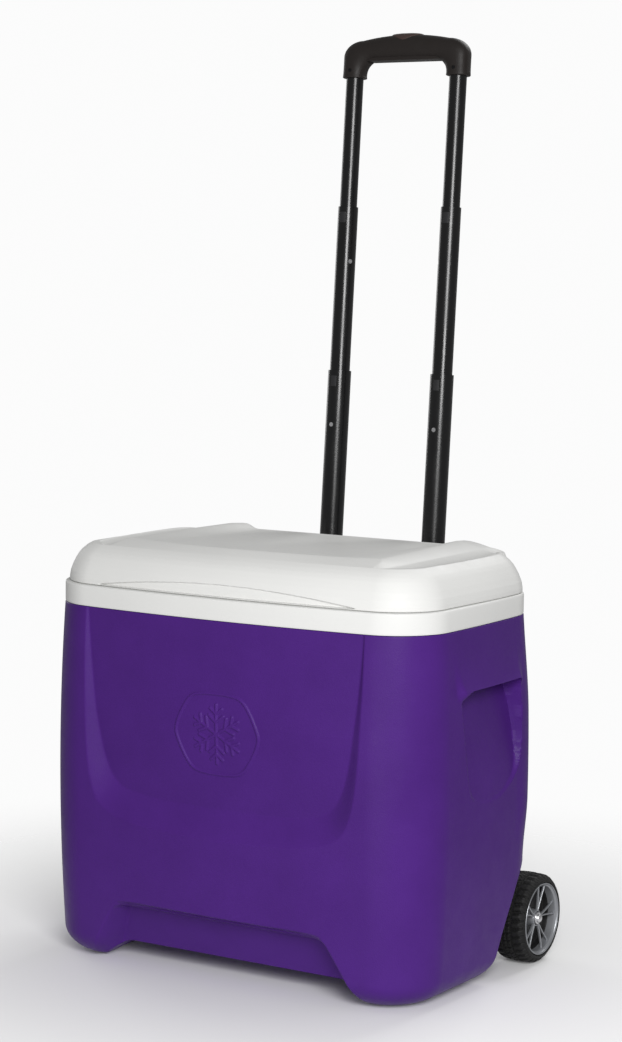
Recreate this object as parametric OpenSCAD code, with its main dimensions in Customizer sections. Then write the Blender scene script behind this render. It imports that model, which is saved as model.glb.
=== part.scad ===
/* [Body] */
// Width of the body across the white rim
body_w = 447; // [420:1:470]
// Depth of the body across the white rim, at its sides
body_d = 251; // [235:1:265]
// Plan radius of the four body corners
corner_r = 52; // [45:1:58]
// Extra depth of the crowned front, at its middle
front_crown = 15.8; // [8:0.1:18]
// Extra depth of the crowned back, at its middle
back_crown = 5; // [2:0.1:6]
// Extra half width of the crowned sides, at their middle
side_crown = 4.7; // [2:0.1:6]
// Extra half width of the barrelled shell at mid height
swell_max = 5.3; // [3:0.1:6]
// Height of the seam between rim and lid
rim_top_z = 395.4; // [390:0.1:400]
// Height of the visible rim skirt
rim_h = 21.9; // [18:0.1:24]
// Wall thickness of the moulded shells
wall = 3; // [2.5:0.1:3.2]

/* [Lid] */
// Height of the lid above the seam
lid_h = 41.6; // [38:0.1:44]
// Largest opening angle is set by this hinge axis height above the seam
hinge_rise = 20.6; // [19:0.1:22]
// Distance of the hinge axis behind the straight back edge
hinge_back = 13.5; // [13:0.1:14.5]
// Distance of each hinge's middle from the plane of symmetry
hinge_x = 130; // [120:1:140]

/* [Handle] */
// Distance between the two columns of tubes
tube_spacing = 129.6; // [126:0.1:134]
// Backward lean of the tubes, in degrees
lean = 4.29; // [4:0.01:4.6]
// Height along the tubes of the grip's lower ends
grip_t = 933.9; // [925:0.1:940]
// Height along the tubes of the top of the middle stage
joint_top_t = 791.1; // [785:0.1:795]
// Height along the tubes of the top of the lower stage
joint_low_t = 610.8; // [605:0.1:615]
// Height along the tubes of the top of the fixed guides
guide_top_t = 395; // [390:0.1:398]
// Length of tube that stays inside the next stage
overlap = 75; // [70:1:80]
// Outer radius of the top tubes
top_tube_r = 9.5; // [9.3:0.1:9.5]
// Outer radius of the middle tubes
mid_tube_r = 11; // [10.9:0.1:11.1]
// Outer radius of the lower tubes
low_tube_r = 12.7; // [12.6:0.1:12.8]
// Outer radius of the fixed guide tubes
guide_r = 14.5; // [14.4:0.1:14.6]
// Wall thickness of all tubes
tube_wall = 0.9; // [0.8:0.05:1]
// Travel of the release button
button_travel = 4; // [3:0.5:4]

/* [Wheels] */
// Outer radius of the tyres
tyre_r = 47; // [46:0.5:49]
// Width of the tyres
tyre_w = 40; // [36:1:40]
// Distance of the tyres' outer faces from the plane of symmetry
wheel_face_x = 233; // [232:0.5:234]
// Distance of the axle behind the middle of the body
axle_y = 130.6; // [130:0.1:132]
// Radius of the steel axle
axle_r = 4; // [3.5:0.1:4.2]

/* [Hidden] */

// Overlap that joins solids, how far cutting tools run past a face, and a length past every part
eps = 0.01;
over = 1;
far = 500;
round_fn = 64;
// Gaps between parts: a snug fit, a sliding one, a turning one and a press fit
fit_gap = 0.3;
slide_gap = 0.15;
running_gap = 0.06;
press_gap = 0.02;

// Colours
purple = [0.31, 0.17, 0.51];
white = [0.9, 0.9, 0.89];
hinge_white = [0.86, 0.86, 0.85];
foam_cream = [0.93, 0.86, 0.62];
black_steel = [0.07, 0.07, 0.075];
black_plastic = [0.09, 0.09, 0.1];
bushing_grey = [0.14, 0.14, 0.15];
zinc = [0.72, 0.72, 0.74];
bright_steel = [0.8, 0.8, 0.82];
rod_steel = [0.6, 0.6, 0.62];
grip_brown = [0.12, 0.11, 0.1];
button_brown = [0.2, 0.17, 0.15];
wheel_silver = [0.52, 0.53, 0.55];
tyre_black = [0.05, 0.05, 0.05];

// Heights of the shell
rim_low_z = rim_top_z - rim_h;
base_z = 21;
swell_mid_z = 205;
swell_half_h = 170;
foot_round = 25;
shell_top_z = rim_top_z - wall - 2;
shell_levels = [0, 3, 8, 15, 25, 115, 205, 290];

// Pockets of the shell: the plane in front of its face, the pocket floors, and the main edges
front_clear_y = -162;
front_face_y = -150;
shield_floor_y = -125;
shield_top_x = 171;
toe_floor_y = -103;
toe_top_x = 118;
toe_top_z = 72;
toe_low_x = 174;
channel_top_x = 127;
channel_low_x = 166;
scoop_floor_x = 210;
notch_y = 112;
notch_z = 86;

// Inner tub
tub_floor_z = 60;
tub_inset_top = 27;
tub_inset_low = 50;

// Lid
lid_low_z = rim_top_z + fit_gap;
lid_top_z = rim_top_z + lid_h;
lid_edge_inset = 2.4;
lid_wall = wall + 2.6;
plug_h = 12;
plug_inset = tub_inset_top + 4.2;

// Hinges
hinge_y = body_d / 2 + hinge_back;
hinge_z = rim_top_z + hinge_rise;
hinge_w = 36;
knuckle_w = 9;
knuckle_r = 5;
hinge_pin_r = 2;
leaf_t = 3.5;
leaf_y = body_d / 2 + back_crown;
lid_leaf_y = body_d / 2 + 0.3;
lid_leaf_t = 3;
hinge_screw_z = 352;
leaf_screw_r = 2;
leaf_screw_len = 7;
lid_screw_r = 1.6;
lid_screw_len = 6;

// Fixed brackets of the handle
bracket_t = 5;
bracket_screw_r = 2.5;
upper_screw_len = 9.5;
lower_screw_len = 29;
upper_plate_y = body_d / 2 + back_crown + 3.6;
upper_collar_t = 324;
upper_collar_h = 40;
collar_r = guide_r + 4.5;
lower_bracket_y = notch_y + 0.4;
lower_bracket_d = 26;
lower_block_h = 60;
lower_boss_h = 72;

// Handle: heights t are measured along the leaning tubes from the floor
tube_y0 = 149.1;
tube_x = tube_spacing / 2;
guide_low_t = 85;
bushing_h = 25;
shoe_h = 5;
shoe_stem = 10;
low_tube_low_t = guide_top_t - overlap;
mid_tube_low_t = joint_low_t - overlap;
top_tube_low_t = joint_top_t - overlap;
lock_pin_drop = 60;
lock_pin_r = 2.4;
tab_w = 7;
tab_h = 11.6;
tab_drop = 6;
grip_h = 44.2;
grip_t_thick = 26;
grip_leg_r = 12.5;
grip_leg_h = 17.2;
grip_corner_r = 17;
grip_end_x = 77.6;
grip_wall = 3;
grip_crown_r = 280;
grip_screw_rise = 6;
grip_screw_r = 1.6;
tube_in_grip = 12;
button_w = 38;
button_d = 14;
button_h = 11;
button_proud = 2.5;
rod_r = 3;
yoke_t = 5;
cover_w = 91.4;
cover_d = 17.4;
spring_places = [-12, 12];
spring_r = 3.6;

// Wheels
wheel_in_x = wheel_face_x - tyre_w;
well_x = wheel_in_x - 7;
rim_r = 37.5;
rim_wall = 4;
washer_r = 9;
washer_t = 2;
hub_r = 10;
hub_out_x = wheel_face_x - 8;
axle_end_x = wheel_face_x - 5;
well_top_z = 102;
spoke_count = 5;
spoke_phase = -10;
spoke_splay = 9.2;
spoke_w = 2.4;

// The row frame stands at the middle of the whole object's plan box
plan_front = -(body_d / 2 + front_crown + swell_max);
plan_back = tube_y0 + (grip_t + grip_h) * sin(lean) + grip_t_thick / 2 * cos(lean);
plan_middle = (plan_front + plan_back) / 2;

module in_frame() { translate([0, -plan_middle, 0]) children(); }

// Leaning frame of one tube column: its Z is the tube axis
module on_column(side) {
    translate([side * tube_x, tube_y0, 0]) rotate([-lean, 0, 0]) children();
}
module on_lean() { translate([0, tube_y0, 0]) rotate([-lean, 0, 0]) children(); }

// Cylinder along X from x0 to x1
module x_rod(x0, x1, r) {
    translate([min(x0, x1), 0, 0]) rotate([0, 90, 0]) cylinder(h = abs(x1 - x0), r = r, $fn = round_fn);
}
// Cylinder along Y from y0 to y1
module y_rod(y0, y1, r) {
    translate([0, y1, 0]) rotate([90, 0, 0]) cylinder(h = y1 - y0, r = r, $fn = round_fn);
}
// Prism of an outline in X and Z, running along Y
module xz_prism(points, y0, y1) {
    translate([0, y1, 0]) rotate([90, 0, 0]) linear_extrude(y1 - y0) polygon(points);
}
// Prism of an outline in Y and Z, running along X
module yz_prism(points, x0, x1) {
    translate([x0, 0, 0]) rotate([90, 0, 90]) linear_extrude(x1 - x0) polygon(points);
}

// ---- Plan outline of the body: a rounded rectangle with crowned sides ----
corner_steps = 7;
edge_steps = 8;
function corner_arc(cx, cy, a0, r) = [
    for (i = [0:corner_steps])
        let (a = a0 + i * 90 / corner_steps) [cx + r * cos(a), cy + r * sin(a)]
];
function edge_points(p, q) = [for (i = [1:edge_steps - 1]) p + (q - p) * i / edge_steps];
function crowned(p) =
    let (u = 2 * p[0] / body_w, v = 2 * p[1] / body_d, crown_y = p[1] < 0 ? front_crown : back_crown)
    [p[0] * (1 + 2 * side_crown / body_w * (1 - v * v)), p[1] * (1 + 2 * crown_y / body_d * (1 - u * u))];
function plan(inset) =
    let (
        r = corner_r - inset * 0.8,
        cx = body_w / 2 - inset - r,
        cy = body_d / 2 - inset - r,
        arcs = [
            corner_arc(cx, cy, 0, r), corner_arc(-cx, cy, 90, r),
            corner_arc(-cx, -cy, 180, r), corner_arc(cx, -cy, 270, r)
        ]
    )
    [
        for (k = [0:3])
            each [
                for (p = concat(arcs[k], edge_points(arcs[k][corner_steps], arcs[(k + 1) % 4][0])))
                    crowned(p)
            ]
    ];
function swell(z) = swell_max * (1 - pow((z - swell_mid_z) / swell_half_h, 2));
function foot_inset(z) = z < foot_round ? foot_round - sqrt(pow(foot_round, 2) - pow(foot_round - z, 2)) : 0;

module slab(z, inset) { translate([0, 0, z]) linear_extrude(eps) polygon(plan(inset)); }

// Barrelled solid of the shell, drawn in by the given inset
module barrel(inset, low_z) {
    hull() {
        for (z = shell_levels)
            slab(z + low_z, inset + foot_inset(z) - swell(z));
        slab(rim_low_z - eps, inset - swell(rim_low_z));
    }
}

// ---- Pockets of the shell; grow moves every pocket wall outwards ----
module shield_pocket(grow) {
    top_x = shield_top_x + grow;
    difference() {
        hull() {
            xz_prism([
                [-top_x, rim_low_z + 1], [-top_x, 290], [-157 - grow, 190], [-150 - grow, 172 - grow],
                [-130, 158 - grow], [0, 153 - grow], [130, 158 - grow], [150 + grow, 172 - grow],
                [157 + grow, 190], [top_x, 290], [top_x, rim_low_z + 1]
            ], front_clear_y, front_face_y);
            xz_prism([
                [-top_x + 4, rim_low_z + 1], [-162 - grow, 270], [-140 - grow, 205],
                [-112 - grow, 186 - grow],
                [112 + grow, 186 - grow], [140 + grow, 205], [162 + grow, 270], [top_x - 4, rim_low_z + 1]
            ], shield_floor_y - 1 + grow, shield_floor_y + grow);
        }
        hull() {
            slab(rim_low_z + 2, 1.5 + grow);
            slab(270, 2 + grow);
            slab(150, 10 + grow);
        }
    }
}
module toe_pocket(grow) {
    hull() {
        xz_prism([
            [-toe_top_x - grow, toe_top_z + grow], [toe_top_x + grow, toe_top_z + grow],
            [150 + grow, 33], [toe_low_x + grow, -over], [-toe_low_x - grow, -over], [-150 - grow, 33]
        ], front_clear_y, front_face_y);
        xz_prism([
            [-114 - grow, 66 + grow], [114 + grow, 66 + grow], [114 + grow, 60], [-114 - grow, 60]
        ], -137 + grow, -136 + grow);
        xz_prism([
            [-channel_top_x - grow, base_z + grow], [channel_top_x + grow, base_z + grow],
            [channel_low_x + grow, -over], [-channel_low_x - grow, -over]
        ], toe_floor_y - 1 + grow, toe_floor_y + grow);
    }
}
module under_channel(grow) {
    xz_prism([
        [-channel_low_x - grow, -over], [channel_low_x + grow, -over],
        [channel_top_x + grow, base_z + grow], [-channel_top_x - grow, base_z + grow]
    ], front_clear_y, -front_clear_y);
}
module scoop_pocket(grow) {
    mouth_x = body_w / 2 + side_crown + swell_max + 2;
    floor_x = scoop_floor_x - grow;
    for (side = [-1, 1])
        scale([side, 1, 1]) hull() {
            yz_prism([
                [-58 - grow, 300 + grow], [-44, 313 + grow], [68 + grow, 316 + grow], [69 + grow, 249],
                [62 + grow, 214 - grow], [30, 194 - grow], [-8, 190 - grow], [-44 - grow, 204 - grow],
                [-60 - grow, 240]
            ], mouth_x - 4, mouth_x);
            yz_prism([
                [-40 - grow, 320 + grow], [52 + grow, 322 + grow], [50 + grow, 270], [20, 240],
                [-30 - grow, 250]
            ], floor_x, floor_x + 1);
        }
}
module wheel_wells(grow) {
    front_y = axle_y - 87 - grow;
    for (side = [-1, 1])
        scale([side, 1, 1])
            yz_prism([
                [0, -over], [65 - grow, 6 + grow], [front_y + 8, 31], [front_y + 15, 57 + grow],
                [84 - grow, 84 + grow], [notch_y + 2, well_top_z + grow], [180, well_top_z + grow],
                [180, -over]
            ], well_x - grow, body_w);
}
module rear_notch(grow) {
    translate([-body_w / 2, notch_y - grow, -over]) cube([body_w, 60, notch_z + over + grow]);
}
module pockets(grow) {
    shield_pocket(grow);
    toe_pocket(grow);
    under_channel(grow);
    scoop_pocket(grow);
    wheel_wells(grow);
    rear_notch(grow);
}
module shell_cavity(grow) {
    difference() {
        barrel(grow, 0);
        translate([-body_w, -body_d, -over]) cube([2 * body_w, 2 * body_d, over + wall]);
        pockets(grow);
    }
}
module tub(top_z, grow) {
    hull() {
        slab(top_z, tub_inset_top - grow);
        slab(tub_floor_z - grow, tub_inset_low - grow);
    }
}

module shell_screw_holes() {
    for (side = [-1, 1])
        leaf_screw_places(side) y_rod(-leaf_screw_len, 0, leaf_screw_r + 0.1);
    upper_bracket_screw_places() y_rod(-upper_screw_len, 0, bracket_screw_r + 0.1);
    lower_bracket_screw_places() y_rod(-lower_screw_len, 0, bracket_screw_r + 0.1);
}
module outer_shell() {
    neck_inset = wall + fit_gap;
    color(purple) in_frame()
        difference() {
            union() {
                difference() {
                    barrel(0, 0);
                    pockets(0);
                }
                translate([0, 0, rim_low_z - 2]) linear_extrude(shell_top_z - rim_low_z + 2)
                    polygon(plan(neck_inset));
            }
            shell_cavity(wall);
            translate([0, 0, rim_low_z - 4]) linear_extrude(shell_top_z)
                polygon(plan(neck_inset + wall));
            shell_screw_holes();
        }
}

module foam_insulation() {
    foam_gap = wall + fit_gap;
    color(foam_cream) in_frame()
        difference() {
            union() {
                shell_cavity(foam_gap);
                translate([0, 0, rim_low_z - 3]) linear_extrude(shell_top_z - rim_low_z + 3)
                    polygon(plan(2 * wall + 2 * fit_gap));
            }
            tub(rim_top_z, wall + fit_gap);
        }
}

module inner_liner() {
    color(white) in_frame()
        difference() {
            union() {
                tub(rim_top_z - eps, wall);
                translate([0, 0, rim_low_z]) linear_extrude(rim_h) polygon(plan(0));
            }
            difference() {
                translate([0, 0, rim_low_z - 1]) linear_extrude(rim_h - wall + 1) polygon(plan(wall));
                tub(rim_top_z, wall);
            }
            tub(rim_top_z + 1, 0);
        }
}

// ---- Lid ----
function lid_inset(s) = lid_edge_inset + 31 * pow(s, 4) + 1.6 * pow(1 - s, 3);
module lid_dome(grow) {
    steps = 8;
    hull()
        for (i = [0:steps])
            let (s = i / steps)
                slab(lid_low_z - 0.01 + s * (lid_h - fit_gap - grow), lid_inset(s) + grow);
}
module lift_recess() {
    half = 158;
    sag = 12;
    steps = 12;
    arch = [for (i = [0:steps]) let (u = 2 * i / steps - 1) [half * u, lid_low_z + 1 + sag * (1 - u * u)]];
    difference() {
        xz_prism(concat(arch, [[half, lid_low_z - 1], [-half, lid_low_z - 1]]), -160, -120);
        translate([0, 0, lid_low_z - 2]) linear_extrude(lid_h) polygon(plan(5.5));
    }
}
module lid_outer() {
    color(white) in_frame()
        difference() {
            lid_dome(0);
            translate([0, 0, -eps]) lid_dome(lid_wall);
            lift_recess();
            for (side = [-1, 1])
                lid_screw_place(side) y_rod(-lid_screw_len, 0, lid_screw_r + 0.1);
        }
}
module lid_foam() {
    color(foam_cream) in_frame()
        union() {
            intersection() {
                lid_dome(lid_wall + fit_gap);
                translate([0, 0, lid_low_z + wall + fit_gap]) linear_extrude(lid_h) polygon(plan(0));
            }
            translate([0, 0, lid_low_z - plug_h + wall + fit_gap]) linear_extrude(plug_h + 1)
                polygon(plan(plug_inset + wall + fit_gap));
        }
}
module lid_inner_panel() {
    panel_inset = lid_wall + lid_edge_inset + 2.2;
    color(white) in_frame()
        difference() {
            union() {
                translate([0, 0, lid_low_z]) linear_extrude(wall) polygon(plan(panel_inset));
                translate([0, 0, lid_low_z - plug_h]) linear_extrude(plug_h) polygon(plan(plug_inset));
            }
            translate([0, 0, lid_low_z - plug_h + wall]) linear_extrude(plug_h + wall)
                polygon(plan(plug_inset + wall));
        }
}

// ---- Hinges; side is -1 on the left and 1 on the right ----
module at_hinge(side) { translate([side * hinge_x, hinge_y, hinge_z]) children(); }
module leaf_screw_places(side) {
    for (x = [-11, 11]) translate([side * hinge_x + x, leaf_y + leaf_t, hinge_screw_z]) children();
}
module lid_screw_place(side) {
    translate([side * hinge_x, lid_leaf_y + lid_leaf_t, lid_low_z + 7.5]) children();
}
module hinge_body_leaf(side) {
    plate_low = 345;
    plate_h = rim_top_z - plate_low;
    ear_x = hinge_w / 2 - knuckle_w;
    color(hinge_white) in_frame()
        difference() {
            union() {
                translate([side * hinge_x - hinge_w / 2, leaf_y, plate_low])
                    cube([hinge_w, leaf_t, plate_h]);
                for (e = [-1, 1])
                    at_hinge(side) {
                        x0 = e < 0 ? -hinge_w / 2 : ear_x;
                        x_rod(x0, x0 + knuckle_w, knuckle_r);
                        yz_prism([
                            [leaf_y - hinge_y, rim_top_z - 1 - hinge_z],
                            [leaf_y + leaf_t - hinge_y, rim_top_z - 1 - hinge_z],
                            [knuckle_r * 0.9, -knuckle_r * 0.4],
                            [-knuckle_r * 0.95, -knuckle_r * 0.3]
                        ], x0, x0 + knuckle_w);
                    }
            }
            at_hinge(side) x_rod(-hinge_w, hinge_w, hinge_pin_r);
            leaf_screw_places(side) y_rod(-20, 20, leaf_screw_r);
        }
}
module hinge_lid_leaf(side) {
    half = hinge_w / 2 - knuckle_w - 0.4;
    plate_y = lid_leaf_y;
    color(hinge_white) in_frame()
        difference() {
            union() {
                translate([side * hinge_x - half, plate_y, lid_low_z + 3])
                    cube([2 * half, lid_leaf_t, 14]);
                at_hinge(side) {
                    x_rod(-half, half, knuckle_r);
                    yz_prism([
                        [plate_y - hinge_y, -6], [0, -knuckle_r], [0, knuckle_r], [plate_y - hinge_y, -1]
                    ], -half, half);
                }
            }
            at_hinge(side) x_rod(-hinge_w, hinge_w, hinge_pin_r + running_gap);
            lid_screw_place(side) y_rod(-20, 20, lid_screw_r);
        }
}
module hinge_pin(side) {
    color(bright_steel) in_frame()
        at_hinge(side) x_rod(-hinge_w / 2 - 1, hinge_w / 2 + 1, hinge_pin_r);
}
// Cross-headed screw, its head standing on Y = 0 and its shaft running towards -Y
module screw(shaft, shaft_r, head_r, head_h) {
    slot_w = 0.8;
    slot = head_r * 1.4;
    difference() {
        union() {
            y_rod(0, head_h, head_r);
            y_rod(-shaft, 0, shaft_r);
        }
        translate([-slot / 2, head_h * 0.5, -slot_w / 2]) cube([slot, head_h, slot_w]);
        translate([-slot_w / 2, head_h * 0.5, -slot / 2]) cube([slot_w, head_h, slot]);
    }
}
module hinge_body_screws() {
    color(zinc) in_frame()
        for (side = [-1, 1])
            leaf_screw_places(side) screw(leaf_screw_len, leaf_screw_r, 3.6, 2);
}
module hinge_lid_screws() {
    color(zinc) in_frame()
        for (side = [-1, 1])
            lid_screw_place(side) screw(lid_screw_len, lid_screw_r, 3, 1.4);
}

// ---- Fixed handle brackets ----
module upper_bracket_screw_places() {
    for (x = [-86.5, 86.5])
        for (z = [324, 356])
            translate([x, upper_plate_y + bracket_t, z]) children();
}
module lower_bracket_screw_places() {
    for (x = [-160, -108, -24, 24, 108, 160])
        translate([x, lower_bracket_y + lower_bracket_d, 74]) children();
}
module handle_upper_bracket() {
    plate_w = 184;
    plate_low = 316;
    plate_h = 48;
    rib_d = 24;
    web_low = 328;
    web_d = 38;
    web_h = 32;
    color(black_plastic) in_frame()
        difference() {
            union() {
                translate([-plate_w / 2, upper_plate_y, plate_low]) cube([plate_w, bracket_t, plate_h]);
                for (side = [-1, 1]) {
                    on_column(side) translate([0, 0, upper_collar_t])
                        cylinder(h = upper_collar_h, r = collar_r, $fn = round_fn);
                    for (web = [-1, 1])
                        translate([
                            side * tube_x + web * (collar_r - bracket_t) - bracket_t / 2,
                            upper_plate_y, web_low
                        ])
                            cube([bracket_t, web_d, web_h]);
                }
                for (z = [330, 352])
                    translate([-tube_x, upper_plate_y, z]) cube([2 * tube_x, rib_d, bracket_t]);
            }
            for (side = [-1, 1])
                on_column(side) cylinder(h = far, r = guide_r + press_gap, $fn = round_fn);
            upper_bracket_screw_places() y_rod(-20, 20, bracket_screw_r);
        }
}
module handle_lower_bracket() {
    low_z = base_z + 4;
    color(black_plastic) in_frame()
        difference() {
            union() {
                translate([-well_x, lower_bracket_y, low_z])
                    cube([2 * well_x, lower_bracket_d, lower_block_h]);
                for (side = [-1, 1])
                    intersection() {
                        on_column(side) translate([0, 0, guide_low_t - 45])
                            cylinder(h = lower_boss_h, r = collar_r, $fn = round_fn);
                        translate([-well_x, lower_bracket_y, low_z]) cube([2 * well_x, 90, 90]);
                    }
            }
            for (side = [-1, 1])
                on_column(side) translate([0, 0, guide_low_t])
                    cylinder(h = far, r = guide_r + press_gap, $fn = round_fn);
            lower_bracket_screw_places() y_rod(-40, 20, bracket_screw_r);
            at_axle() x_rod(-far, far, axle_r + press_gap);
        }
}
module upper_bracket_screws() {
    color(zinc) in_frame()
        upper_bracket_screw_places() screw(upper_screw_len, bracket_screw_r, 4.2, 2.4);
}
module lower_bracket_screws() {
    color(zinc) in_frame()
        lower_bracket_screw_places() screw(lower_screw_len, bracket_screw_r, 4.2, 2.4);
}

// ---- Telescoping tubes ----
module tube(low_t, top_t, r, color_rgb, side, window, pin_angle) {
    color(color_rgb) in_frame() on_column(side)
        difference() {
            translate([0, 0, low_t]) cylinder(h = top_t - low_t, r = r, $fn = round_fn);
            translate([0, 0, low_t - 1])
                cylinder(h = top_t - low_t + 2, r = r - tube_wall, $fn = round_fn);
            if (window)
                translate([-tab_w / 2, -r - 1, top_t - tab_drop - tab_h])
                    cube([tab_w, r, tab_h]);
            if (pin_angle != undef)
                translate([0, 0, top_t - lock_pin_drop]) rotate([0, 0, pin_angle])
                    y_rod(-r - 2, 0, lock_pin_r);
        }
}
// Guide bushing in the mouth of a tube of radius r, round a tube of radius r_in
module bushing(top_t, r, r_in, side) {
    color(bushing_grey) in_frame() on_column(side)
        difference() {
            union() {
                translate([0, 0, top_t - bushing_h])
                    cylinder(h = bushing_h, r = r - tube_wall, $fn = round_fn);
                intersection() {
                    translate([-tab_w / 2, -r - 1, top_t - tab_drop - tab_h]) cube([tab_w, r, tab_h]);
                    translate([0, 0, top_t - bushing_h]) cylinder(h = bushing_h, r = r, $fn = round_fn);
                }
            }
            translate([0, 0, top_t - bushing_h - 1])
                cylinder(h = bushing_h + 2, r = r_in + slide_gap, $fn = round_fn);
        }
}
// Plastic shoe on the lower end of an inner tube, running in a tube of radius r_out
module tube_plug(low_t, r, r_out, side, rod_way) {
    color(bushing_grey) in_frame() on_column(side)
        difference() {
            union() {
                translate([0, 0, low_t - shoe_h])
                    cylinder(h = shoe_h, r = r_out - tube_wall - slide_gap, $fn = round_fn);
                translate([0, 0, low_t - eps]) cylinder(h = shoe_stem, r = r - tube_wall, $fn = round_fn);
            }
            translate([0, 0, low_t - 2 * shoe_h])
                cylinder(h = 2 * shoe_h + 2 * shoe_stem, r = rod_way, $fn = round_fn);
        }
}
// Spring pin standing in the hole of a tube of radius r, facing pin_angle
module lock_pin(top_t, r, pin_angle, side) {
    color(bright_steel) in_frame() on_column(side)
        translate([0, 0, top_t - lock_pin_drop]) rotate([0, 0, pin_angle])
            y_rod(-r + 0.3, -r + 0.3 + tube_wall, lock_pin_r);
}
module guide_tube(side) { tube(guide_low_t, guide_top_t, guide_r, black_steel, side, true, undef); }
module lower_tube(side) { tube(low_tube_low_t, joint_low_t, low_tube_r, black_steel, side, true, 0); }
module middle_tube(side) {
    tube(mid_tube_low_t, joint_top_t, mid_tube_r, black_steel, side, true, -side * 60);
}
module top_tube(side) {
    tube(top_tube_low_t, grip_t + tube_in_grip, top_tube_r, black_steel, side, false, undef);
}
module guide_bushing(side) { bushing(guide_top_t, guide_r, low_tube_r, side); }
module lower_bushing(side) { bushing(joint_low_t, low_tube_r, mid_tube_r, side); }
module middle_bushing(side) { bushing(joint_top_t, mid_tube_r, top_tube_r, side); }
module lower_tube_plug(side) { tube_plug(low_tube_low_t, low_tube_r, guide_r, side, 6); }
module middle_tube_plug(side) { tube_plug(mid_tube_low_t, mid_tube_r, low_tube_r, side, 5); }
module top_tube_plug(side) { tube_plug(top_tube_low_t, top_tube_r, mid_tube_r, side, rod_r + 0.5); }
module lower_lock_pin(side) { lock_pin(joint_low_t, low_tube_r, 0, side); }
module middle_lock_pin(side) { lock_pin(joint_top_t, mid_tube_r, -side * 60, side); }

// ---- Grip; drawn in the leaning frame, X across and Z along the tubes ----
bar_low = grip_t + grip_leg_h;
bar_top = grip_t + grip_h;
rod_low_t = top_tube_low_t + 4;
yoke_low_t = bar_low + 4 + button_travel;
module grip_outline(inset) {
    intersection() {
        translate([0, bar_top - inset - grip_crown_r]) circle(r = grip_crown_r, $fn = 256);
        union() {
            translate([-grip_end_x + inset, bar_low + inset])
                square([2 * (grip_end_x - inset), grip_h - grip_leg_h - grip_corner_r - inset]);
            translate([-grip_end_x + grip_corner_r, bar_low + inset])
                square([2 * (grip_end_x - grip_corner_r), grip_h]);
            for (e = [-1, 1])
                translate([e * (grip_end_x - grip_corner_r), bar_top - grip_corner_r])
                    circle(r = grip_corner_r - inset, $fn = round_fn);
        }
    }
}
module grip_bar(inset) {
    depth = grip_t_thick - 2 * inset;
    translate([0, depth / 2, 0]) rotate([90, 0, 0]) linear_extrude(depth) grip_outline(inset);
}
module grip_body() {
    color(grip_brown) in_frame()
        difference() {
            union() {
                on_lean() grip_bar(0);
                for (side = [-1, 1])
                    on_column(side) translate([0, 0, grip_t])
                        cylinder(h = grip_leg_h + 1, r = grip_leg_r, $fn = round_fn);
            }
            on_lean() grip_bar(grip_wall);
            on_lean() translate([-cover_w / 2 - 0.2, -cover_d / 2 - 0.2, bar_low - 12])
                cube([cover_w + 0.4, cover_d + 0.4, 21]);
            on_lean() translate([-button_w / 2 - 0.4, -button_d / 2 - 0.4, bar_top - 10])
                cube([button_w + 0.8, button_d + 0.8, 20]);
            for (side = [-1, 1]) {
                on_column(side) translate([0, 0, grip_t - 1])
                    cylinder(h = 30, r = top_tube_r + press_gap, $fn = round_fn);
                on_column(side) translate([0, 0, grip_t + grip_screw_rise]) y_rod(-20, 0, grip_screw_r + 0.2);
            }
        }
}
module grip_under_cover() {
    color(black_plastic) in_frame() on_lean()
        union() {
            translate([-cover_w / 2, -cover_d / 2, bar_low - 1.2]) cube([cover_w, cover_d, 3.8]);
            for (x = spring_places)
                translate([x, 0, bar_low]) cylinder(h = 5, r = spring_r - 1.2, $fn = round_fn);
        }
}
module grip_screws() {
    color(black_steel) in_frame()
        for (side = [-1, 1])
            on_column(side) translate([0, -grip_leg_r + 1.4, grip_t + grip_screw_rise]) scale([1, -1, 1])
                screw(1.5, grip_screw_r, grip_screw_r + 0.2, 1);
}
module release_button() {
    low = bar_top - button_h;
    color(button_brown) in_frame() on_lean()
        union() {
            intersection() {
                translate([-button_w / 2, -button_d / 2, low])
                    cube([button_w, button_d, button_h + button_proud]);
                translate([0, 0, bar_top + button_proud - 60]) rotate([90, 0, 0])
                    cylinder(h = 40, r = 60, center = true, $fn = 128);
            }
            translate([-3, -3, yoke_low_t + yoke_t]) cube([6, 6, low - yoke_low_t - yoke_t + eps]);
        }
}
module release_yoke() {
    color(rod_steel) in_frame() on_lean()
        difference() {
            union() {
                translate([-tube_x - 4, -4, yoke_low_t]) cube([2 * tube_x + 8, 8, yoke_t]);
                translate([-18, -7, yoke_low_t]) cube([36, 14, yoke_t]);
            }
            for (x = spring_places)
                translate([x, 0, yoke_low_t - over])
                    cylinder(h = yoke_t + 2 * over, r = spring_r + 0.8, $fn = round_fn);
        }
}
module release_rod(side) {
    color(rod_steel) in_frame() on_column(side)
        translate([0, 0, rod_low_t]) cylinder(h = yoke_low_t - rod_low_t, r = rod_r, $fn = round_fn);
}
module button_spring() {
    low = bar_low + 2.7;
    color(bright_steel) in_frame() on_lean()
        for (x = spring_places)
            translate([x, 0, low])
                difference() {
                    cylinder(h = bar_top - button_h - low - 0.1, r = spring_r, $fn = round_fn);
                    translate([0, 0, -1]) cylinder(h = 30, r = spring_r - 0.8, $fn = round_fn);
                }
}

// ---- Wheels ----
module at_axle() { translate([0, axle_y, tyre_r]) children(); }
module axle() {
    color(bright_steel) in_frame() at_axle() x_rod(-axle_end_x, axle_end_x, axle_r);
}
module axle_washers() {
    color(zinc) in_frame() at_axle()
        for (side = [-1, 1])
            difference() {
                x_rod(side * (well_x + 1), side * (well_x + 1 + washer_t), washer_r);
                x_rod(-far, far, axle_r + press_gap);
            }
}
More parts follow.
